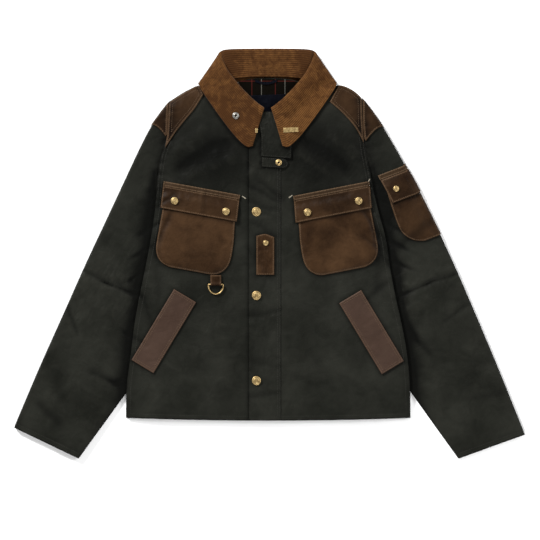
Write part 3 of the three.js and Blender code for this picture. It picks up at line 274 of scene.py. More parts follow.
# Each crease is a ridge, or a trough if its height is negative, from one place to another.
CREASES = [
    # across the wearer's right sleeve at the elbow, and towards its cuff
    {"x1": -346, "y1": -33, "x2": -305, "y2": -57, "height": -2.1, "width": 3},
    {"x1": -305, "y1": -57, "x2": -246, "y2": -80, "height": -2.1, "width": 3},
    {"x1": -352, "y1": -22, "x2": -280, "y2": -50, "height": 1.7, "width": 8},
    {"x1": -344, "y1": -50, "x2": -262, "y2": -90, "height": 1.6, "width": 8},
    {"x1": -378, "y1": -104, "x2": -360, "y2": -146, "height": -1.7, "width": 3.5},
    {"x1": -330, "y1": -92, "x2": -286, "y2": -110, "height": 1.2, "width": 9},
    {"x1": -352, "y1": -128, "x2": -338, "y2": -176, "height": 1.2, "width": 9},
    {"x1": -428, "y1": -286, "x2": -396, "y2": -318, "height": -1.8, "width": 8},
    {"x1": -410, "y1": -268, "x2": -380, "y2": -304, "height": 1.3, "width": 8},
    {"x1": -330, "y1": -226, "x2": -284, "y2": -244, "height": -1.8, "width": 5},
    {"x1": -266, "y1": -150, "x2": -242, "y2": -166, "height": -1.4, "width": 3},
    # across the wearer's left sleeve
    {"x1": 344, "y1": -40, "x2": 298, "y2": -56, "height": -2.1, "width": 3},
    {"x1": 298, "y1": -56, "x2": 248, "y2": -80, "height": -2.1, "width": 3},
    {"x1": 350, "y1": -26, "x2": 282, "y2": -52, "height": 1.7, "width": 8},
    {"x1": 372, "y1": -96, "x2": 330, "y2": -124, "height": -1.5, "width": 3.5},
    {"x1": 318, "y1": -74, "x2": 262, "y2": -106, "height": 1.4, "width": 8},
    {"x1": 440, "y1": -262, "x2": 386, "y2": -270, "height": -1.0, "width": 6},
    {"x1": 300, "y1": 60, "x2": 250, "y2": 20, "height": -1.5, "width": 8},
    {"x1": 262, "y1": -140, "x2": 300, "y2": -186, "height": -1.5, "width": 6},
    # over the chest, from the collar towards the armholes
    {"x1": -86, "y1": 208, "x2": -168, "y2": 166, "height": -1.7, "width": 9},
    {"x1": -70, "y1": 176, "x2": -150, "y2": 142, "height": 1.6, "width": 10},
    {"x1": -120, "y1": 236, "x2": -176, "y2": 190, "height": 1.2, "width": 9},
    {"x1": 66, "y1": 208, "x2": 140, "y2": 160, "height": -1.3, "width": 9},
    {"x1": 56, "y1": 182, "x2": 112, "y2": 146, "height": 1.6, "width": 10},
    {"x1": 92, "y1": 232, "x2": 158, "y2": 186, "height": 1.3, "width": 9},
    {"x1": -14, "y1": 132, "x2": 20, "y2": 106, "height": -2.0, "width": 5},
    {"x1": -30, "y1": 146, "x2": 6, "y2": 128, "height": 1.3, "width": 7},
    # down the body, beside and under the pockets
    {"x1": -216, "y1": 22, "x2": -206, "y2": -70, "height": -1.3, "width": 8},
    {"x1": 206, "y1": 30, "x2": 204, "y2": -64, "height": -1.5, "width": 8},
    {"x1": 216, "y1": -58, "x2": 186, "y2": -84, "height": -1.4, "width": 5},
    {"x1": -70, "y1": -86, "x2": -120, "y2": -190, "height": 1.1, "width": 16},
    {"x1": 92, "y1": -96, "x2": 136, "y2": -196, "height": 1.1, "width": 16},
    {"x1": 184, "y1": 70, "x2": 203, "y2": 40, "height": -2.2, "width": 4},
    {"x1": 196, "y1": 72, "x2": 212, "y2": 44, "height": 1.4, "width": 5},
    {"x1": 204, "y1": 30, "x2": 224, "y2": -4, "height": -2.2, "width": 4},
    {"x1": 212, "y1": -8, "x2": 238, "y2": -42, "height": -1.9, "width": 4},
    {"x1": 180, "y1": 30, "x2": 200, "y2": 12, "height": -1.4, "width": 4},
    {"x1": -190, "y1": 66, "x2": -206, "y2": 30, "height": -2.0, "width": 4},
    {"x1": -238, "y1": -84, "x2": -222, "y2": -124, "height": -1.8, "width": 4},
    # short ones that run from the sides of the body onto the sleeves
    {"x1": 214, "y1": 62, "x2": 242, "y2": 44, "height": -1.7, "width": 3},
    {"x1": 222, "y1": 24, "x2": 256, "y2": 6, "height": -1.7, "width": 3},
    {"x1": 232, "y1": -18, "x2": 266, "y2": -30, "height": -1.5, "width": 3},
    {"x1": 206, "y1": 104, "x2": 226, "y2": 78, "height": -1.5, "width": 3},
    {"x1": -212, "y1": 54, "x2": -240, "y2": 38, "height": -1.6, "width": 3},
    {"x1": -226, "y1": 10, "x2": -254, "y2": -6, "height": -1.6, "width": 3},
    {"x1": -240, "y1": -38, "x2": -264, "y2": -50, "height": -1.5, "width": 3},
    {"x1": -186, "y1": 108, "x2": -206, "y2": 92, "height": -1.3, "width": 3},
    # across the strip down the front, beside its studs
    {"x1": -28, "y1": 122, "x2": 14, "y2": 98, "height": -1.6, "width": 4},
    {"x1": -30, "y1": 94, "x2": 12, "y2": 79, "height": -1.5, "width": 4},
    {"x1": -30, "y1": 64, "x2": 10, "y2": 71, "height": 1.2, "width": 5},
    {"x1": -22, "y1": 52, "x2": 12, "y2": 34, "height": -1.3, "width": 4},
    {"x1": -36, "y1": 6, "x2": 4, "y2": -46, "height": -1.1, "width": 5},
    {"x1": -34, "y1": -116, "x2": 14, "y2": -108, "height": -1.4, "width": 4.5},
    {"x1": -34, "y1": -130, "x2": 10, "y2": -138, "height": 1.2, "width": 6},
    {"x1": -34, "y1": -268, "x2": 14, "y2": -262, "height": -1.4, "width": 4.5},
    {"x1": -30, "y1": -206, "x2": 12, "y2": -214, "height": -1.2, "width": 5},
    # the fold down the flap of the wearer's right chest pocket
    {"x1": -127, "y1": 112, "x2": -128, "y2": 74, "height": 0.9, "width": 4.5},
    {"x1": -121.5, "y1": 112, "x2": -122.5, "y2": 78, "height": -0.9, "width": 4},
]
CREASE_END = 12  # how far a crease runs out past its ends
CREASE_SWAY = 2.5
DEEP_TROUGH = 2.2
# Where each cuff's turned-in edge is sewn.
CUFF_ROWS = {
    "sleeve_right": ((-471.5, -319.6), (-356.7, -374.5)),
    "sleeve_left": ((472.1, -331.9), (354.1, -374.5)),
}
for (x1, y1), (x2, y2) in CUFF_ROWS.values():
    CREASES.append({"x1": x1, "y1": y1, "x2": x2, "y2": y2, "height": -0.7, "width": 2.4})
HEM_UP, HEM_DROP, HEM_TURN, HEM_HALF = -308, 5, 8, 265
ELBOW_UP, CHEST_UP, ARMPIT_UP = -62, 175, 125
DARKEST = 1.25
PUCKER_HEIGHT, PUCKER_REACH = 0.8, 15
SLEEVE_TUCK, BODY_TUCK, TUCK_REACH = 1.4, 0.7, 7  # what draws the armhole seam together
# The seams between body and sleeves.
ARMHOLES = {
    -1: ((120, 150, 185, 211, 243, 284), (211, 208, 202, 193, 190, 188)),
    1: ((128, 157, 185, 211, 243, 292), (193, 187, 181, 178, 174, 173)),
}


def hills(x, y, size, seed):
    """Smooth hills and hollows of that size over the plan, from -1 to 1."""
    heights = np.random.default_rng(seed).uniform(-1, 1, (256, 256))
    u, v = x / size + 97.3, y / size + 61.7
    i, j = np.floor(u).astype(int), np.floor(v).astype(int)
    s, t = u - i, v - j
    s, t = s * s * (3 - 2 * s), t * t * (3 - 2 * t)
    at = lambda a, b: heights[(i + a) % 256, (j + b) % 256]
    return (at(0, 0) * (1 - s) + at(1, 0) * s) * (1 - t) + (at(0, 1) * (1 - s) + at(1, 1) * s) * t


def crinkle(x, y, heading, length, width, seed):
    """Narrow soft ridges that run in a heading, in degrees from the hem's direction. From 0 to 1."""
    c, s = math.cos(math.radians(heading)), math.sin(math.radians(heading))
    along, across = x * c + y * s, y * c - x * s
    return (1 - np.abs(hills(along / length * width, across, width, seed))) ** 3


def mirrored(x, bent_x, bent_y, heading, length, width, seed):
    """The same on both halves, with the headings of one half mirrored on the other."""
    left = np.clip((x + 25) / 50, 0, 1)
    shapes = [crinkle(bent_x, bent_y, way * heading, length, width, seed) for way in (1, -1)]
    return left * shapes[0] + (1 - left) * shapes[1]


def near(value, middle, width):
    return np.exp(-(((value - middle) / width) ** 2))


def crease_height(x, y):
    total = np.zeros_like(x)
    for crease in CREASES:
        dx, dy = crease["x2"] - crease["x1"], crease["y2"] - crease["y1"]
        length = math.hypot(dx, dy)
        along = ((x - crease["x1"]) * dx + (y - crease["y1"]) * dy) / length
        across = ((y - crease["y1"]) * dx - (x - crease["x1"]) * dy) / length
        across = across + CREASE_SWAY * hills(x, y, 26, 5)
        past = np.maximum(np.maximum(-along, along - length), 0)
        width = crease["width"] * (1 + 0.5 * (across > 0))
        total += crease["height"] * np.exp(-((across / width) ** 2) - (past / CREASE_END) ** 2)
    return total


def armhole_pucker(x, y):
    """Short puckers that run away from the armhole seams on both sides."""
    total = np.zeros_like(x)
    for sign, (ups, outs) in ARMHOLES.items():
        away = np.abs(x * sign - np.interp(y, ups, outs))
        here = near(away, 0, PUCKER_REACH) * (y > ups[0] - 25) * (x * sign > 0)
        total += here * PUCKER_HEIGHT * hills(x * 0.25, y, 7, 31 + sign)
    return total


def to_armhole(x, y):
    """How far outside the armhole seam a place is, or far away where it isn't beside that seam."""
    away = np.full_like(x, ABOVE_ALL)
    for sign, (ups, outs) in ARMHOLES.items():
        beside = (x * sign > 0) & (y > ups[0] - 4)
        away = np.where(beside, x * sign - np.interp(y, ups, outs), away)
    return away


def closed_up(x, y, node):
    """Draws the edges of body and sleeve together at the armhole seam."""
    on_sleeve = node.startswith("sleeve")
    away = to_armhole(x, y)
    share = np.clip(1 - np.abs(away) / TUCK_REACH, 0, 1)
    return x + np.sign(x) * share * (-SLEEVE_TUCK if on_sleeve else BODY_TUCK)


def painted_shade_and_darker_chest(x, y):
    """Where the cloth is painted darker: painted shade beside the armholes and along the sides, where the
    body lies over the sleeves, and down in creases and puckers. It is also darker over the chest.
    """
    chest = near(y, 185, 75) * near(np.abs(x), 105, 95)
    seam = near(to_armhole(x, y), 0, 11)
    side = np.abs(x) - np.interp(y, (-308, -134, 29, 120), (268, 251, 220, 205))
    beside = np.where((y < ARMPIT_UP) & (side < 3), near(side, 0, 14), 0)
    # Painted shadow on the sleeve beside the body's edge, which lies over it.
    tucked = np.where((y < ARMPIT_UP) & (side >= 3), near(side, 3, 16), 0)
    # Painted shade down in the creases and the armhole puckers.
    troughs = np.clip(-crease_height(x, y) / DEEP_TROUGH, 0, 1)
    troughs = troughs + 0.5 * np.clip(-armhole_pucker(x, y) / 0.7, 0, 1)
    return np.clip(1.15 * chest + 0.5 * seam + 0.3 * beside + 0.55 * tucked + 0.7 * troughs, 0, DARKEST)


def rumple(x, y):
    """How far the cloth stands from its laid shape, by creases and by its soft unevenness."""
    bent_x = x + 15 * hills(x, y, 60, 11)
    bent_y = y + 15 * hills(x, y, 60, 12)
    soft = 0.8 * hills(bent_x * 0.8, bent_y * 1.2, 44, 1) + 0.5 * hills(bent_x, bent_y, 21, 2)
    fine = 0.27 * hills(bent_x, bent_y, 9, 3)
    on_sleeve = np.clip((np.abs(x) - 215 + 0.12 * y) / 25, 0, 1)
    elbow = near(y, ELBOW_UP, 62)
    folds = on_sleeve * (0.3 + elbow) * 0.8 * mirrored(x, bent_x, bent_y, 28, 3.2, 17, 4)
    chest = (1 - on_sleeve) * near(y, CHEST_UP, 62) * mirrored(x, bent_x, bent_y, -32, 3, 22, 6)
    low = (1 - on_sleeve) * (0.35 + near(y, -290, 60)) * crinkle(bent_x, bent_y, 14, 2.6, 26, 8)
    strip = near(x, -8, 26) ** 2 * 1.15 * crinkle(x, bent_y, 4, 3.5, 13, 9)
    hem_seam = HEM_UP + HEM_TURN - HEM_DROP * (1 - (x / HEM_HALF) ** 2)
    hem = -0.55 * near(y, hem_seam, 2.4) * (np.abs(x) < HEM_HALF + 5)
    placed = crease_height(x, y) + armhole_pucker(x, y)
    return soft + fine + folds + 0.8 * chest + 0.6 * low + strip + hem + placed - 0.5


def share_up(z, low=2.0, high=7.0):
    t = np.clip((z - low) / (high - low), 0, 1)
    return t * t * (3 - 2 * t)


# Collar: its sections run from the neck seam over the roll to the outer edge, and are read off in
# steps from the middle of the back to the front. `turn` is 180 where the turned-down part lies
# underneath, behind the neck.
COLLAR_MIDDLE_X = -3.4
COLLAR_COLUMNS = (
    "seam_out", "seam_up", "seam_z", "roll_out", "roll_up", "roll_z", "gap", "edge_out", "edge_up", "turn",
)
COLLAR_SECTIONS = (
    (0, 331, 6.9, 0, 383, 6.6, 4.9, 0, 288.5, 180),
    (34, 330.6, 6.9, 38, 382.8, 6.6, 4.9, 40, 289, 180),
    (58, 328, 7, 66, 382.2, 6.6, 4.9, 76, 291, 180),
    (70, 325, 7.4, 79, 381, 6.9, 4.9, 103, 298, 172),
    (74, 322, 8, 84, 379.5, 7.3, 4.7, 121, 309, 150),
    (75, 319, 8.8, 86.6, 376.5, 8, 4.4, 128.6, 317, 112),
    (75, 316, 9.6, 86.5, 372, 9, 4.2, 129.4, 316.5, 74),
    (74, 312, 10.4, 84.5, 364, 10.4, 4, 127, 311, 36),
    (72, 306, 11.4, 80, 353, 12, 3.8, 121, 301, 10),
    (67, 297, 12.4, 72, 338, 13.6, 3.6, 110, 285, 0),
    (55, 284, 13, 53, 314, 15.2, 3.4, 88, 254, 0),
    (37, 272, 13.2, 33, 293, 16, 3.2, 64, 223, 0),
    (22, 264, 13.2, 17, 279, 16.2, 3, 45, 203.5, 0),
    (14, 261, 13.2, 9, 273.5, 16.2, 2.9, 36, 199, 0),
    (11, 260, 13.2, 6.5, 271.5, 16.2, 2.8, 28, 201, 0),
)
STAND_SHARE = 0.34
ROLL_SHARE = 0.12
COLLAR_HALF_THICKNESS = 1.1
WALES = 38
WALE_HEIGHT = 0.36
LAID_GAP = 0.45
COLLAR_CARRIERS = (
    "front_left", "front_right", "shoulder_patch_left", "shoulder_patch_right", "placket", "neck_flap",
)


def collar_section(share):
    """The columns of the collar's table at a share of the way from its back to its front."""
    rows = np.array(COLLAR_SECTIONS, float)
    last = len(rows) - 1
    k = min(int(share * last), last - 1)
    t = share * last - k
    slope = lambda n: (rows[min(n + 1, last)] - rows[max(n - 1, 0)]) / (min(n + 1, last) - max(n - 1, 0))
    weights = (2 * t**3 - 3 * t**2 + 1, t**3 - 2 * t**2 + t, 3 * t**2 - 2 * t**3, t**3 - t**2)
    parts = (rows[k], slope(k), rows[k + 1], slope(k + 1))
    return dict(zip(COLLAR_COLUMNS, sum(w * p for w, p in zip(weights, parts))))


def eased(share):
    t = min(max(share, 0.0), 1.0)
    return t * t * (3 - 2 * t)


def blended(a, b, share):
    return a + (b - a) * share


def points_of(mesh):
    flat = np.empty(len(mesh.vertices) * 3, np.float32)
    mesh.vertices.foreach_get("co", flat)
    return flat.reshape(-1, 3).astype(float) / MM


def set_points(mesh, points):
    mesh.vertices.foreach_set("co", (points * MM).astype(np.float32).ravel())
    mesh.update()


def mark(mesh, name, values):
    layer = mesh.attributes.new(name, "FLOAT", "POINT")
    layer.data.foreach_set("value", np.asarray(values, np.float32))


def show(name, mesh, material, body="jacket", stands_for=()):
    mesh.materials.clear()
    mesh.materials.append(material)
    mesh.shade_smooth()
    made = bpy.data.objects.new(name, mesh)
    bpy.context.scene.collection.objects.link(made)
    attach(made, body)
    if stands_for:
        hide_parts(*stands_for)
    return made


def mesh_of(name, points, faces):
    mesh = bpy.data.meshes.new(name)
    mesh.from_pydata([tuple(p * MM) for p in np.asarray(points, float)], [], faces)
    mesh.update()
    return mesh


def split_long_edges(mesh, longest):
    """Divides the faces along every edge that is too long to take a crease, but for those on the floor."""
    form = bmesh.new()
    form.from_mesh(mesh)
    for _ in range(3):
        long_edges = [
            edge
            for edge in form.edges
            if edge.calc_length() > longest and max(v.co.z for v in edge.verts) > FLOOR_SIDE * MM
        ]
        if long_edges:
            bmesh.ops.subdivide_edges(form, edges=long_edges, cuts=1, use_grid_fill=True)
    form.to_mesh(mesh)
    form.free()


def rounded(node, levels, sharp=50):
    """A fine, rounded mesh on the form of a solid. Its sharp edges stay where they are."""
    form = bmesh.new()
    form.from_mesh(nodes[node].data)
    bmesh.ops.remove_doubles(form, verts=form.verts, dist=SAME_PLACE)
    bmesh.ops.join_triangles(
        form, faces=form.faces, angle_face_threshold=math.radians(35), angle_shape_threshold=math.radians(75)
    )
    layer = form.edges.layers.float.new("crease_edge")
    edge_places = []
    for edge in form.edges:
        if edge.calc_face_angle(0) > math.radians(sharp):
            edge[layer] = 1.0
            a, b = (v.co / MM for v in edge.verts)
            steps = max(1, int((a - b).length / 3))
            edge_places += [a.lerp(b, k / steps) for k in range(steps + 1)]
    rough = bpy.data.meshes.new(f"{node}_rough")
    form.to_mesh(rough)
    form.free()
    holder = bpy.data.objects.new(f"{node}_rough", rough)
    bpy.context.scene.collection.objects.link(holder)
    finer = holder.modifiers.new("finer", "SUBSURF")
    finer.levels = finer.render_levels = levels
    seen = holder.evaluated_get(bpy.context.evaluated_depsgraph_get())
    mesh = bpy.data.meshes.new_from_object(seen)
    bpy.data.objects.remove(holder)
    bpy.data.meshes.remove(rough)
    split_long_edges(mesh, LONGEST_EDGE)
    points = points_of(mesh)
    if not edge_places:
        return mesh, points, np.full(len(points), ABOVE_ALL)
    tree = KDTree(len(edge_places))
    for k, place in enumerate(edge_places):
        tree.insert(place, k)
    tree.balance()
    return mesh, points, np.array([tree.find(p)[2] for p in points])


def outline(node):
    """The edge of the upper face of a piece, seen from above, as points in order."""
    form = bmesh.new()
    form.from_mesh(nodes[node].data)
    bmesh.ops.remove_doubles(form, verts=form.verts, dist=SAME_PLACE)
    upper = {face for face in form.faces if face.normal.z > 0.3}
    links = {}
    for edge in form.edges:
        if sum(face in upper for face in edge.link_faces) == 1:
            a, b = edge.verts
            links.setdefault(a, []).append(b)
            links.setdefault(b, []).append(a)
    longest = []
    left = dict.fromkeys(links)
    while left:
        here = next(iter(left))
        del left[here]
        run = [here]
        while True:
            ahead = [v for v in links[here] if v in left]
            if not ahead:
                break
            here = ahead[0]
            del left[here]
            run.append(here)
        if len(run) > len(longest):
            longest = run
    loop = np.array([v.co[:2] for v in longest]) / MM
    form.free()
    return loop


def evenly(points, step, closed=False):
    """The same line with a point every so often."""
    if closed:
        points = np.concatenate([points, points[:1]])
    lengths = np.concatenate([[0], np.cumsum(np.linalg.norm(np.diff(points, axis=0), axis=1))])
    count = max(2, int(lengths[-1] / step))
    wanted = np.arange(0, lengths[-1], step) if closed else np.linspace(0, lengths[-1], count)
    return np.stack([np.interp(wanted, lengths, points[:, k]) for k in range(2)], axis=1)


# What lies on each piece, and casts a painted shadow line beside it.
CARRIED = {
    "front_right": (
        "chest_pocket_right", "chest_flap_right", "hand_pocket_welt_right", "placket", "neck_flap",
    ),
    "front_left": ("chest_pocket_left", "chest_flap_left", "hand_pocket_welt_left", "neck_flap"),
    "placket": ("placket_tab", "neck_flap", "throat_tab"),
    "chest_pocket_right": ("chest_flap_right",),
    "chest_pocket_left": ("chest_flap_left",),
    "sleeve_left": ("sleeve_pocket", "sleeve_flap"),
    "sleeve_pocket": ("sleeve_flap",),
}


# Pieces that have kept more of their wax.
DARKER_PIECES = {
    "shoulder_patch": 0.3, "sleeve_head": 0.3, "sleeve_pocket": 0.3, "sleeve_flap": 0.3, "chest_flap": 0.18,
}


def painted_shadow_beside_carried(node, x, y):
    """How near a place is to the edge of a piece that lies there, from 0 to 1: where that piece's painted
    shadow falls.
    """
    lines = [evenly(outline(name), 2.0, closed=True) for name in CARRIED.get(node, ())]
    if node.startswith(("front", "shoulder", "placket", "neck_flap")):
        rows = [collar_section(share) for share in np.linspace(0.45, 1, 90)]
        for sign in (-1, 1):
            edge = [(COLLAR_MIDDLE_X + sign * row["edge_out"], row["edge_up"]) for row in rows]
            lines.append(np.array(edge))
    if not lines:
        return np.zeros_like(x)
    places = np.concatenate(lines)
    tree = KDTree(len(places))
    for k, (px, py) in enumerate(places):
        tree.insert((px, py, 0), k)
    tree.balance()
    away = np.array([tree.find((px, py, 0))[2] for px, py in zip(x, y)])
    return near(away, 0, 5.5)


def round_the_middle(x, y):
    """Puckers that run away from the middle of a piece, as round the edge of a pocket."""
    middle_x, middle_y = (x.max() + x.min()) / 2, (y.max() + y.min()) / 2
    angle = np.arctan2(y - middle_y, x - middle_x)
    away = np.hypot(x - middle_x, y - middle_y)
    return hills(angle * 60, away * 0.2, 7.5, 23)


def cloth(node, levels, material, rim_width=5.0, pucker=0.35, radial=0.0):
    """A piece of cloth on the form of its solid, with its creases, puckered edges and soft rim."""
    mesh, points, from_edge = rounded(node, levels)
    x, y, z = points.T
    near_edge = near(from_edge, 0, rim_width)
    give = share_up(z)
    lift = rumple(x, y) * give
    seamed = near(from_edge, 0, 14) * (1 - 0.5 * near_edge)
    lift += pucker * seamed * give * hills(x, y, 6.5, 21)
    if radial:
        lift += radial * near(from_edge, 0, 17) * (1 - 0.7 * near_edge) * round_the_middle(x, y)
    points[:, 2] = z + lift
    painted_shade_and_wax = painted_shade_and_darker_chest(x, y) + 0.7 * painted_shadow_beside_carried(node, x, y)
    # The olive cloth is painted darker along its very edges, where it rounds away: painted shade.
    if material is OLIVE:
        painted_shade_and_wax += 0.7 * near(from_edge, 0, 1.8)
    for start, darker in DARKER_PIECES.items():
        if node.startswith(start):
            painted_shade_and_wax += darker
    # The sleeves are painted darker where they round down to the floor: painted shade.
    if node in CUFF_ROWS:
        painted_shade_and_wax += 1.1 * (1 - share_up(z, 3.5, 9.0))
    if node == "placket":
        # Its outer edge is sewn down flat.
        points[:, 2] -= 1.3 * share_up(x, 11, 20)
    mark(mesh, "painted_shade_and_wax", np.clip(painted_shade_and_wax, 0, DARKEST))
    if node.startswith(("front", "sleeve_", "shoulder")):
        points[:, 0] = closed_up(x, y, node)
    set_points(mesh, points)
    mark(mesh, "rim", near_edge)
    # How raised the cloth lies; the material paints the raised folds paler with it, a painted highlight.
    mark(mesh, "ridge", np.clip(0.5 + 0.4 * lift, 0, 1))
    return show(f"{node}_cloth", mesh, material, stands_for=(node,))


def top_of(names):
    """The height of the highest of some solids at a place."""
    trees = []
    for name in names:
        mesh = nodes[name].data
        faces = [tuple(p.vertices) for p in mesh.polygons]
        trees.append(BVHTree.FromPolygons(points_of(mesh).tolist(), faces))

    def top(x, y):
        hits = [tree.ray_cast(Vector((x, y, ABOVE_ALL)), Vector((0, 0, -1)))[0] for tree in trees]
        return max((hit.z for hit in hits if hit), default=0.0)

    return top


def collar_middle(length, width, top):
    """A point of the collar's middle surface. length runs from -1, at the wearer's right point, to 1."""
    sign = -1 if length < 0 else 1
    row = collar_section(abs(length))
    at = lambda name: np.array((COLLAR_MIDDLE_X + sign * row[f"{name}_out"], row[f"{name}_up"]))
    seam, roll, edge = at("seam"), at("roll"), at("edge")
    turn, gap, roll_z = math.radians(row["turn"]), row["gap"], row["roll_z"]
    away = (seam + edge) / 2 - roll
    away /= np.hypot(*away)
    outward = np.array((-away[1], away[0])) * sign * math.sin(turn)
    centre = roll + away * gap
    foot = lambda way: np.array((*(centre + way * outward * gap), roll_z + way * math.cos(turn) * gap))
    behind = row["turn"] > 95

    def clear(x, y, z):
        if behind:
            return np.array((x, y, z))
        angles = [k * math.pi / 4 for k in range(8)]
        spots = [(0, 0)] + [(12 * math.cos(angle), 12 * math.sin(angle)) for angle in angles]
        carried = max(top(x + dx, y + dy) for dx, dy in spots) + LAID_GAP + COLLAR_HALF_THICKNESS
        return np.array((x, y, max(z, carried)))

    if width < STAND_SHARE:
        t = width / STAND_SHARE
        to = foot(-1)
        return clear(*blended(seam, to[:2], t), blended(row["seam_z"], to[2], eased(t)))
    if width < STAND_SHARE + ROLL_SHARE:
        angle = math.pi * (width - STAND_SHARE) / ROLL_SHARE
        c, s = -math.cos(angle), math.sin(angle)
        return np.array((*(centre + gap * (c * outward - s * away)), roll_z + gap * c * math.cos(turn)))
    t = (width - STAND_SHARE - ROLL_SHARE) / (1 - STAND_SHARE - ROLL_SHARE)
    start = foot(1)
    edge_z = blended(COLLAR_HALF_THICKNESS, 9.6, eased((150 - row["turn"]) / 120))
    z = blended(start[2], edge_z, eased(t * (3 if behind else 1.25)))
    return clear(*blended(start[:2], edge, t), max(z, COLLAR_HALF_THICKNESS) if behind else z)


def finer(grid, rows, columns):
    """The same surface with more points, read off between those of a coarse grid."""
    for axis, count in ((0, rows), (1, columns)):
        where = np.linspace(0, grid.shape[axis] - 1, count)
        k = np.minimum(where.astype(int), grid.shape[axis] - 2)
        share = (where - k).reshape((-1, 1, 1) if axis == 0 else (1, -1, 1))
        grid = np.take(grid, k, axis) * (1 - share) + np.take(grid, k + 1, axis) * share
    return grid


def soften(grid, times):
    """Evens out the small steps of a grid of points. Its rim stays."""
    for _ in range(times):
        inner = (grid[:-2, 1:-1] + grid[2:, 1:-1] + grid[1:-1, :-2] + grid[1:-1, 2:]) / 4
        grid[1:-1, 1:-1] = (grid[1:-1, 1:-1] + inner) / 2
    return grid


def folded_collar():
    top = top_of(COLLAR_CARRIERS)
    rough_lengths = np.linspace(-1, 1, 121)
    rough_widths = np.linspace(0, 1, 76)
    rough = np.array([[collar_middle(a, b, top) for b in rough_widths] for a in rough_lengths])
    rough[:, :, 2] = soften(rough, 2)[:, :, 2]
    count, across = ((210, WALES * 5 + 1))
    grid = finer(rough, count, across)
    run, rise = np.gradient(grid, axis=0), np.gradient(grid, axis=1)
    facing = np.cross(run, rise)
    facing /= np.linalg.norm(facing, axis=2, keepdims=True)
    lengths = np.linspace(-1, 1, count)
    widths = np.linspace(0, 1, across)
    underneath = np.array([collar_section(abs(a))["turn"] for a in lengths])[:, None] > 95
    on_floor = underneath & (widths > STAND_SHARE + ROLL_SHARE)[None, :]
    rib = np.broadcast_to(0.5 - 0.5 * np.cos(2 * np.pi * widths * WALES), (count, across)) ** 0.7
    rib = np.where(on_floor, 0.0, rib)
    steps = np.linalg.norm(np.diff(grid, axis=1), axis=2)
    from_seam = np.concatenate([np.zeros((count, 1)), np.cumsum(steps, axis=1)], axis=1)
    to_edge = from_seam[:, -1:] - from_seam
    along = np.linalg.norm(np.diff(grid, axis=0), axis=2)
    from_point = np.concatenate([np.zeros((1, across)), np.cumsum(along, axis=0)], axis=0)
    to_rim = np.minimum(np.minimum(from_seam, to_edge), np.minimum(from_point, from_point[-1:] - from_point))
    rounding = np.sqrt(1 - (1 - np.clip(to_rim / 2.2, 0, 1)) ** 2) * 0.75 + 0.25
    x, y, z = grid[:, :, 0], grid[:, :, 1], grid[:, :, 2]
    lift = rumple(x, y) * share_up(z) + 0.5 * hills(x, y, 15, 41) * share_up(z, 6, 12)
    layers = []
    for way in (1, -1):
        depth = COLLAR_HALF_THICKNESS + (WALE_HEIGHT * (rib - 0.1) if way > 0 else 0.0)
        layer = grid + facing * (way * depth * rounding)[:, :, None]
        layer[:, :, 2] = np.maximum(layer[:, :, 2] + lift, 0.05)
        layers.append(layer.reshape(-1, 3))
    size = count * across
    at = lambda layer, i, j: layer * size + i * across + j
    faces = []
    for i in range(count - 1):
        for j in range(across - 1):
            faces.append((at(0, i, j), at(0, i + 1, j), at(0, i + 1, j + 1), at(0, i, j + 1)))
            faces.append((at(1, i, j), at(1, i, j + 1), at(1, i + 1, j + 1), at(1, i + 1, j)))
    for i in range(count - 1):
        for j in (0, across - 1):
            faces.append((at(0, i, j), at(1, i, j), at(1, i + 1, j), at(0, i + 1, j)))
    for j in range(across - 1):
        for i in (0, count - 1):
            faces.append((at(0, i, j), at(0, i, j + 1), at(1, i, j + 1), at(1, i, j)))
    mesh = mesh_of("collar", np.concatenate(layers), faces)
    turn_out(mesh)
    plain = np.full(size, 0.35)
    mark(mesh, "rib", np.concatenate([rib.ravel(), plain]))
    # The wearer's left leaf is the paler one.
    leaf_tone_and_band_shade = np.clip((x - COLLAR_MIDDLE_X) / 60, -1, 1) * np.clip((325 - y) / 70, 0, 1)
    # The band at the back is painted darker where the leaves fold over its ends: painted shade.
    band = (np.abs(lengths) < 0.36)[:, None] * np.clip((y - 296) / 12, 0, 1)
    leaf_tone_and_band_shade = leaf_tone_and_band_shade - 2.0 * band * near(np.abs(x - COLLAR_MIDDLE_X), 78, 17)
    mark(mesh, "leaf_tone_and_band_shade", np.tile(leaf_tone_and_band_shade.ravel(), 2))
    return show("collar_cloth", mesh, CORDUROY, stands_for=("collar",))


def turn_out(mesh):
    """Turns all faces of a closed mesh outwards."""
    form = bmesh.new()
    form.from_mesh(mesh)
    bmesh.ops.recalc_face_normals(form, faces=form.faces)
    form.to_mesh(mesh)
    form.free()


LEVELS = 3
made = {}
for node, levels in {
    "back": LEVELS - 1,
    "front_left": LEVELS,
    "front_right": LEVELS,
    "sleeve_left": LEVELS - 1,
    "sleeve_right": LEVELS - 1,
    "placket": LEVELS,
    "neck_flap": LEVELS,
    "throat_tab": 2,
}.items():
    made[node] = cloth(node, levels, OLIVE)
for node, material, radial in (
    ("shoulder_patch_left", BROWN, 0),
    ("shoulder_patch_right", BROWN, 0),
    ("sleeve_head_patch_left", BROWN, 0),
    ("sleeve_head_patch_right", BROWN, 0),
    ("chest_pocket_left", BROWN, 0.9),
    ("chest_pocket_right", BROWN, 0.9),
    ("chest_flap_left", BROWN, 0.25),
    ("chest_flap_right", BROWN, 0.25),
    ("sleeve_pocket", BROWN, 0.5),
    ("sleeve_flap", BROWN, 0),
    ("hand_pocket_welt_left", WELT, 0),
    ("hand_pocket_welt_right", WELT, 0),
    ("placket_tab", BROWN, 0),
    ("ring_tab", BROWN, 0),
):
    made[node] = cloth(node, LEVELS, material, rim_width=2.6, radial=radial)
for node in ("chest_flap_band_left", "chest_flap_band_right", "sleeve_flap_band"):
    made[node] = cloth(node, LEVELS, BROWN_BAND, rim_width=2.0)
made["neck_lining"] = cloth("neck_lining", 3, LINING)
for node in ("neck_label", "hanging_loop"):
    made[node] = cloth(node, 3, NAVY)
made["collar"] = folded_collar()


# Metal


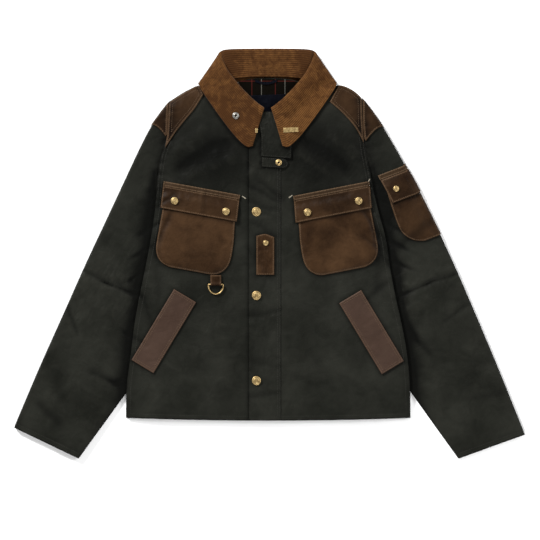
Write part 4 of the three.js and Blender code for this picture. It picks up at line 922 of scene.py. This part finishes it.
def turned(name, profile, x, y, z, sides=48):
    """A turned piece. Its profile is (radius, height) from the middle outwards and down."""
    points = [(x, y, z + profile[0][1])]
    faces = []
    for r, h in profile[1:]:
        for k in range(sides):
            angle = 2 * math.pi * k / sides
            points.append((x + r * math.cos(angle), y + r * math.sin(angle), z + h))
    at = lambda ring, k: 1 + ring * sides + k % sides
    rings = len(profile) - 1
    for k in range(sides):
        faces.append((0, at(0, k), at(0, k + 1)))
        for ring in range(rings - 1):
            faces.append((at(ring, k), at(ring + 1, k), at(ring + 1, k + 1), at(ring, k + 1)))
    faces.append(tuple(at(rings - 1, k) for k in range(sides)))
    mesh = mesh_of(name, points, faces)
    turn_out(mesh)
    return mesh


# Shares of the radius and of the height.
CAP = (
    (0, 1), (0.2, 0.99), (0.4, 0.95), (0.56, 0.87), (0.64, 0.79), (0.68, 0.7), (0.72, 0.69), (0.77, 0.76),
    (0.85, 0.77), (0.92, 0.68), (0.97, 0.5), (1, 0.28), (0.98, 0.1), (0.95, 0),
)
SOCKET = (
    (0, 0.22), (0.2, 0.22), (0.3, 0.25), (0.33, 0.7), (0.38, 0.93), (0.45, 1), (0.54, 0.93), (0.6, 0.72),
    (0.66, 0.62), (0.78, 0.66), (0.9, 0.56), (0.97, 0.38), (1, 0.2), (0.96, 0),
)


def metal_piece(node):
    """A metal piece in the place of its solid, standing as high as the cloth around it."""
    points = points_of(nodes[node].data)
    low, high = points.min(0), points.max(0)
    middle = (low + high) / 2
    up = rumple(middle[:1], middle[1:2])[0]
    nickel = node == "collar_eyelet"
    if "stud" in node or nickel:
        profile = SOCKET if nickel or node == "throat_stud" else CAP
        radius, height = (high[0] - low[0]) / 2, high[2] - low[2]
        scaled = [(r * radius, h * height) for r, h in profile]
        mesh = turned(node, scaled, middle[0], middle[1], low[2] + up)
        far = np.hypot(*(points_of(mesh)[:, :2] - middle[:2]).T) / radius
        # Painted shade in the socket's hollow middle and in the cap's groove.
        mark(mesh, "painted_hollow_shade", (far < 0.32) * 1.0 if profile is SOCKET else 0.75 * near(far, 0.7, 0.05))
    elif node == "d_ring":
        mesh, points, _ = rounded(node, 2, sharp=70)
        points[:, 2] += up
        set_points(mesh, points)
    else:
        form = bmesh.new()
        form.from_mesh(nodes[node].data)
        bmesh.ops.remove_doubles(form, verts=form.verts, dist=SAME_PLACE)
        bmesh.ops.dissolve_limit(form, angle_limit=0.03, verts=form.verts, edges=form.edges)
        bmesh.ops.bevel(
            form, geom=list(form.edges), offset=0.32 * MM, segments=3, affect="EDGES", profile=0.5
        )
        bmesh.ops.translate(form, verts=form.verts, vec=(0, 0, up * MM))
        mesh = bpy.data.meshes.new(node)
        form.to_mesh(mesh)
        form.free()
    body = "ring" if node == "d_ring" else "jacket"
    return show(f"{node}_metal", mesh, NICKEL if nickel else BRASS, body=body, stands_for=(node,))


for node in list(nodes):
    if node not in made:
        made[node] = metal_piece(node)


# Stitches


class Surface:
    """The top of a piece of cloth, as it lies."""

    def __init__(self, piece):
        points = points_of(piece.data).tolist()
        self.tree = BVHTree.FromPolygons(points, [tuple(p.vertices) for p in piece.data.polygons])

    def at(self, x, y):
        place, normal, _, _ = self.tree.ray_cast(Vector((x, y, ABOVE_ALL)), Vector((0, 0, -1)))
        return (None, None) if place is None or normal.z < 0.72 else (place, normal)


def inside_row(loop, inset):
    """A line at that distance inside a closed one, in runs."""
    loop = evenly(loop, 1.0, closed=True)
    ahead, behind = np.roll(loop, -3, axis=0), np.roll(loop, 3, axis=0)
    along = (ahead - behind) / np.maximum(np.linalg.norm(ahead - behind, axis=1, keepdims=True), 1e-6)
    x, y = loop.T
    turning = np.sign(np.sum(x * np.roll(y, -1) - y * np.roll(x, -1)))
    row = loop + np.stack([-along[:, 1], along[:, 0]], axis=1) * turning * inset
    gaps = np.array([np.min(np.hypot(*(loop - p).T)) for p in row])
    runs, run = [], []
    for p, gap in zip(row, gaps):
        if gap > 0.95 * inset and (not run or np.hypot(*(p - run[-1])) < 3):
            run.append(p)
        elif len(run) > 6:
            runs.append(np.array(run))
            run = []
        else:
            run = []
    if len(run) > 6:
        runs.append(np.array(run))
    return runs


def sew(surface, line, stitches, pitch=3.3, length=2.5, keep=None):
    """Adds stitches along a line, each as its middle, its heading and the cloth's own facing."""
    spots = evenly(line, pitch)
    for here, ahead in zip(spots[:-1], spots[1:]):
        x, y = (here + ahead) / 2
        if keep and not keep(x, y):
            continue
        place, normal = surface.at(x, y)
        if place is None:
            continue
        heading = Vector((*(ahead - here), 0)).normalized()
        heading = (heading - normal * heading.dot(normal)).normalized()
        stitches.append((place, heading, normal, length))


def thread_mesh(name, stitches, material, width=0.62):
    """Every stitch is a short piece of thread that dips into the cloth at both ends."""
    points, faces = [], []
    for place, heading, normal, length in stitches:
        side = heading.cross(normal)
        start = len(points)
        points.append(place - heading * length / 2 - normal * 0.12)
        for along in (-0.3, 0.0, 0.3):
            high = 0.34 if along == 0 else 0.26
            for across, up in ((-0.5, 0.02), (-0.3, 0.8), (0.3, 0.8), (0.5, 0.02)):
                spot = place + heading * (along * length) + side * (across * width)
                points.append(spot + normal * (up * high))
        points.append(place + heading * length / 2 - normal * 0.12)
        end = len(points) - 1
        for ring in range(2):
            for k in range(3):
                a = start + 1 + ring * 4 + k
                faces.append((a, a + 1, a + 5, a + 4))
        for k in range(3):
            faces.append((start, start + 2 + k, start + 1 + k))
            faces.append((end, start + 9 + k, start + 10 + k))
    return show(name, mesh_of(name, points, faces), material)


# Rows of stitches: how far inside a piece's edge, and which part of that edge they follow.
always = lambda x, y: True
SEWN = {
    "chest_pocket_left": ((2.0, always),),
    "chest_pocket_right": ((2.0, always),),
    "chest_flap_left": ((1.9, always),),
    "chest_flap_right": ((1.9, always),),
    "chest_flap_band_left": ((1.7, always),),
    "chest_flap_band_right": ((1.7, always),),
    "hand_pocket_welt_left": ((1.9, always), (5.5, always)),
    "hand_pocket_welt_right": ((1.9, always), (5.5, always)),
    "shoulder_patch_left": ((1.9, always), (6.5, always)),
    "shoulder_patch_right": ((1.9, always), (6.5, always)),
    "sleeve_head_patch_left": ((1.9, always),),
    "sleeve_head_patch_right": ((1.9, always),),
    "sleeve_pocket": ((2.0, always),),
    "sleeve_flap": ((1.9, always),),
    "sleeve_flap_band": ((1.7, always),),
    "placket_tab": ((1.7, always),),
}
SEWN_OLIVE = {
    "placket": ((1.8, lambda x, y: x > 8 or y < -296), (6.2, lambda x, y: x > 8)),
    "neck_flap": ((2.2, always),),
    "throat_tab": ((1.9, always),),
    "front_left": ((2.6, lambda x, y: y > 118 and x > 160), (8.0, lambda x, y: x > 160 or y < -296)),
    "front_right": ((2.6, lambda x, y: y > 112 and x < -170), (8.0, lambda x, y: x < -170 or y < -296)),
}
brown_stitches, olive_stitches, tacks = [], [], []
for table, stitches in ((SEWN, brown_stitches), (SEWN_OLIVE, olive_stitches)):
    for node, rows in table.items():
        surface = Surface(made[node])
        for inset, keep in rows:
            for line in inside_row(outline(node), inset):
                sew(surface, line, stitches, keep=keep)
for node, row in CUFF_ROWS.items():
    sew(Surface(made[node]), np.array(row), olive_stitches)
# Pale bar tacks at the upper corners of the pockets.
for node, x, y, heading in (
    ("front_right", -47.6, 105, -35),
    ("front_left", 39.6, 106.5, 40),
    ("front_left", 186, 136, 60),
):
    c, s = math.cos(math.radians(heading)), math.sin(math.radians(heading))
    surface = Surface(made[node])
    for k in range(-4, 5):
        place, normal = surface.at(x + c * k * 0.9, y + s * k * 0.9)
        if place is not None:
            tacks.append((place, Vector((-s, c, 0)), normal, 2.6))
thread_mesh("stitches_brown", brown_stitches, BROWN_THREAD)
thread_mesh("stitches_olive", olive_stitches, OLIVE_THREAD)
thread_mesh("bar_tacks", tacks, PALE_THREAD, width=0.8)


# Studio

FRAME_WIDTH = 1.0125
CAMERA_HEIGHT = 6.0
lens = bpy.data.cameras.new("camera")
lens.sensor_width = 36
lens.lens = 36 * CAMERA_HEIGHT / FRAME_WIDTH
camera = bpy.data.objects.new("camera", lens)
camera.location = (0.001, -0.0308, CAMERA_HEIGHT)
bpy.context.scene.collection.objects.link(camera)
bpy.context.scene.camera = camera

floor_mesh = bpy.data.meshes.new("floor")
span = 30
corners_of_floor = [(-span, -span, 0), (span, -span, 0), (span, span, 0), (-span, span, 0)]
floor_mesh.from_pydata(corners_of_floor, [], [(0, 1, 2, 3)])
floor_mesh.materials.append(studio_floor())
floor = bpy.data.objects.new("floor", floor_mesh)
floor.location.z = -0.0005
bpy.context.scene.collection.objects.link(floor)
floor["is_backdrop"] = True


def soft_light(name, place, size, power):
    data = bpy.data.lights.new(name, "AREA")
    data.size = size
    data.energy = power
    lamp = bpy.data.objects.new(name, data)
    lamp.location = place
    lamp.rotation_euler = (-Vector(place)).to_track_quat("-Z", "Y").to_euler()
    bpy.context.scene.collection.objects.link(lamp)


soft_light("high_left", (-3.8, 4.4, 2.7), 1.4, 950)
soft_light("right", (4.6, 1.4, 3.2), 2.4, 230)
soft_light("low", (0.6, -5.0, 3.2), 2.6, 230)
world = bpy.data.worlds.new("studio")
bpy.context.scene.world = world
world.use_nodes = True
world.node_tree.nodes["Background"].inputs["Color"].default_value = (1, 1, 1, 1)
world.node_tree.nodes["Background"].inputs["Strength"].default_value = 0.34
bpy.context.scene.view_settings.view_transform = "Standard"

corners = lambda box: [list(corner) for corner in box]
{"cad": corners(cad_box), "visual": corners(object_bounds())}
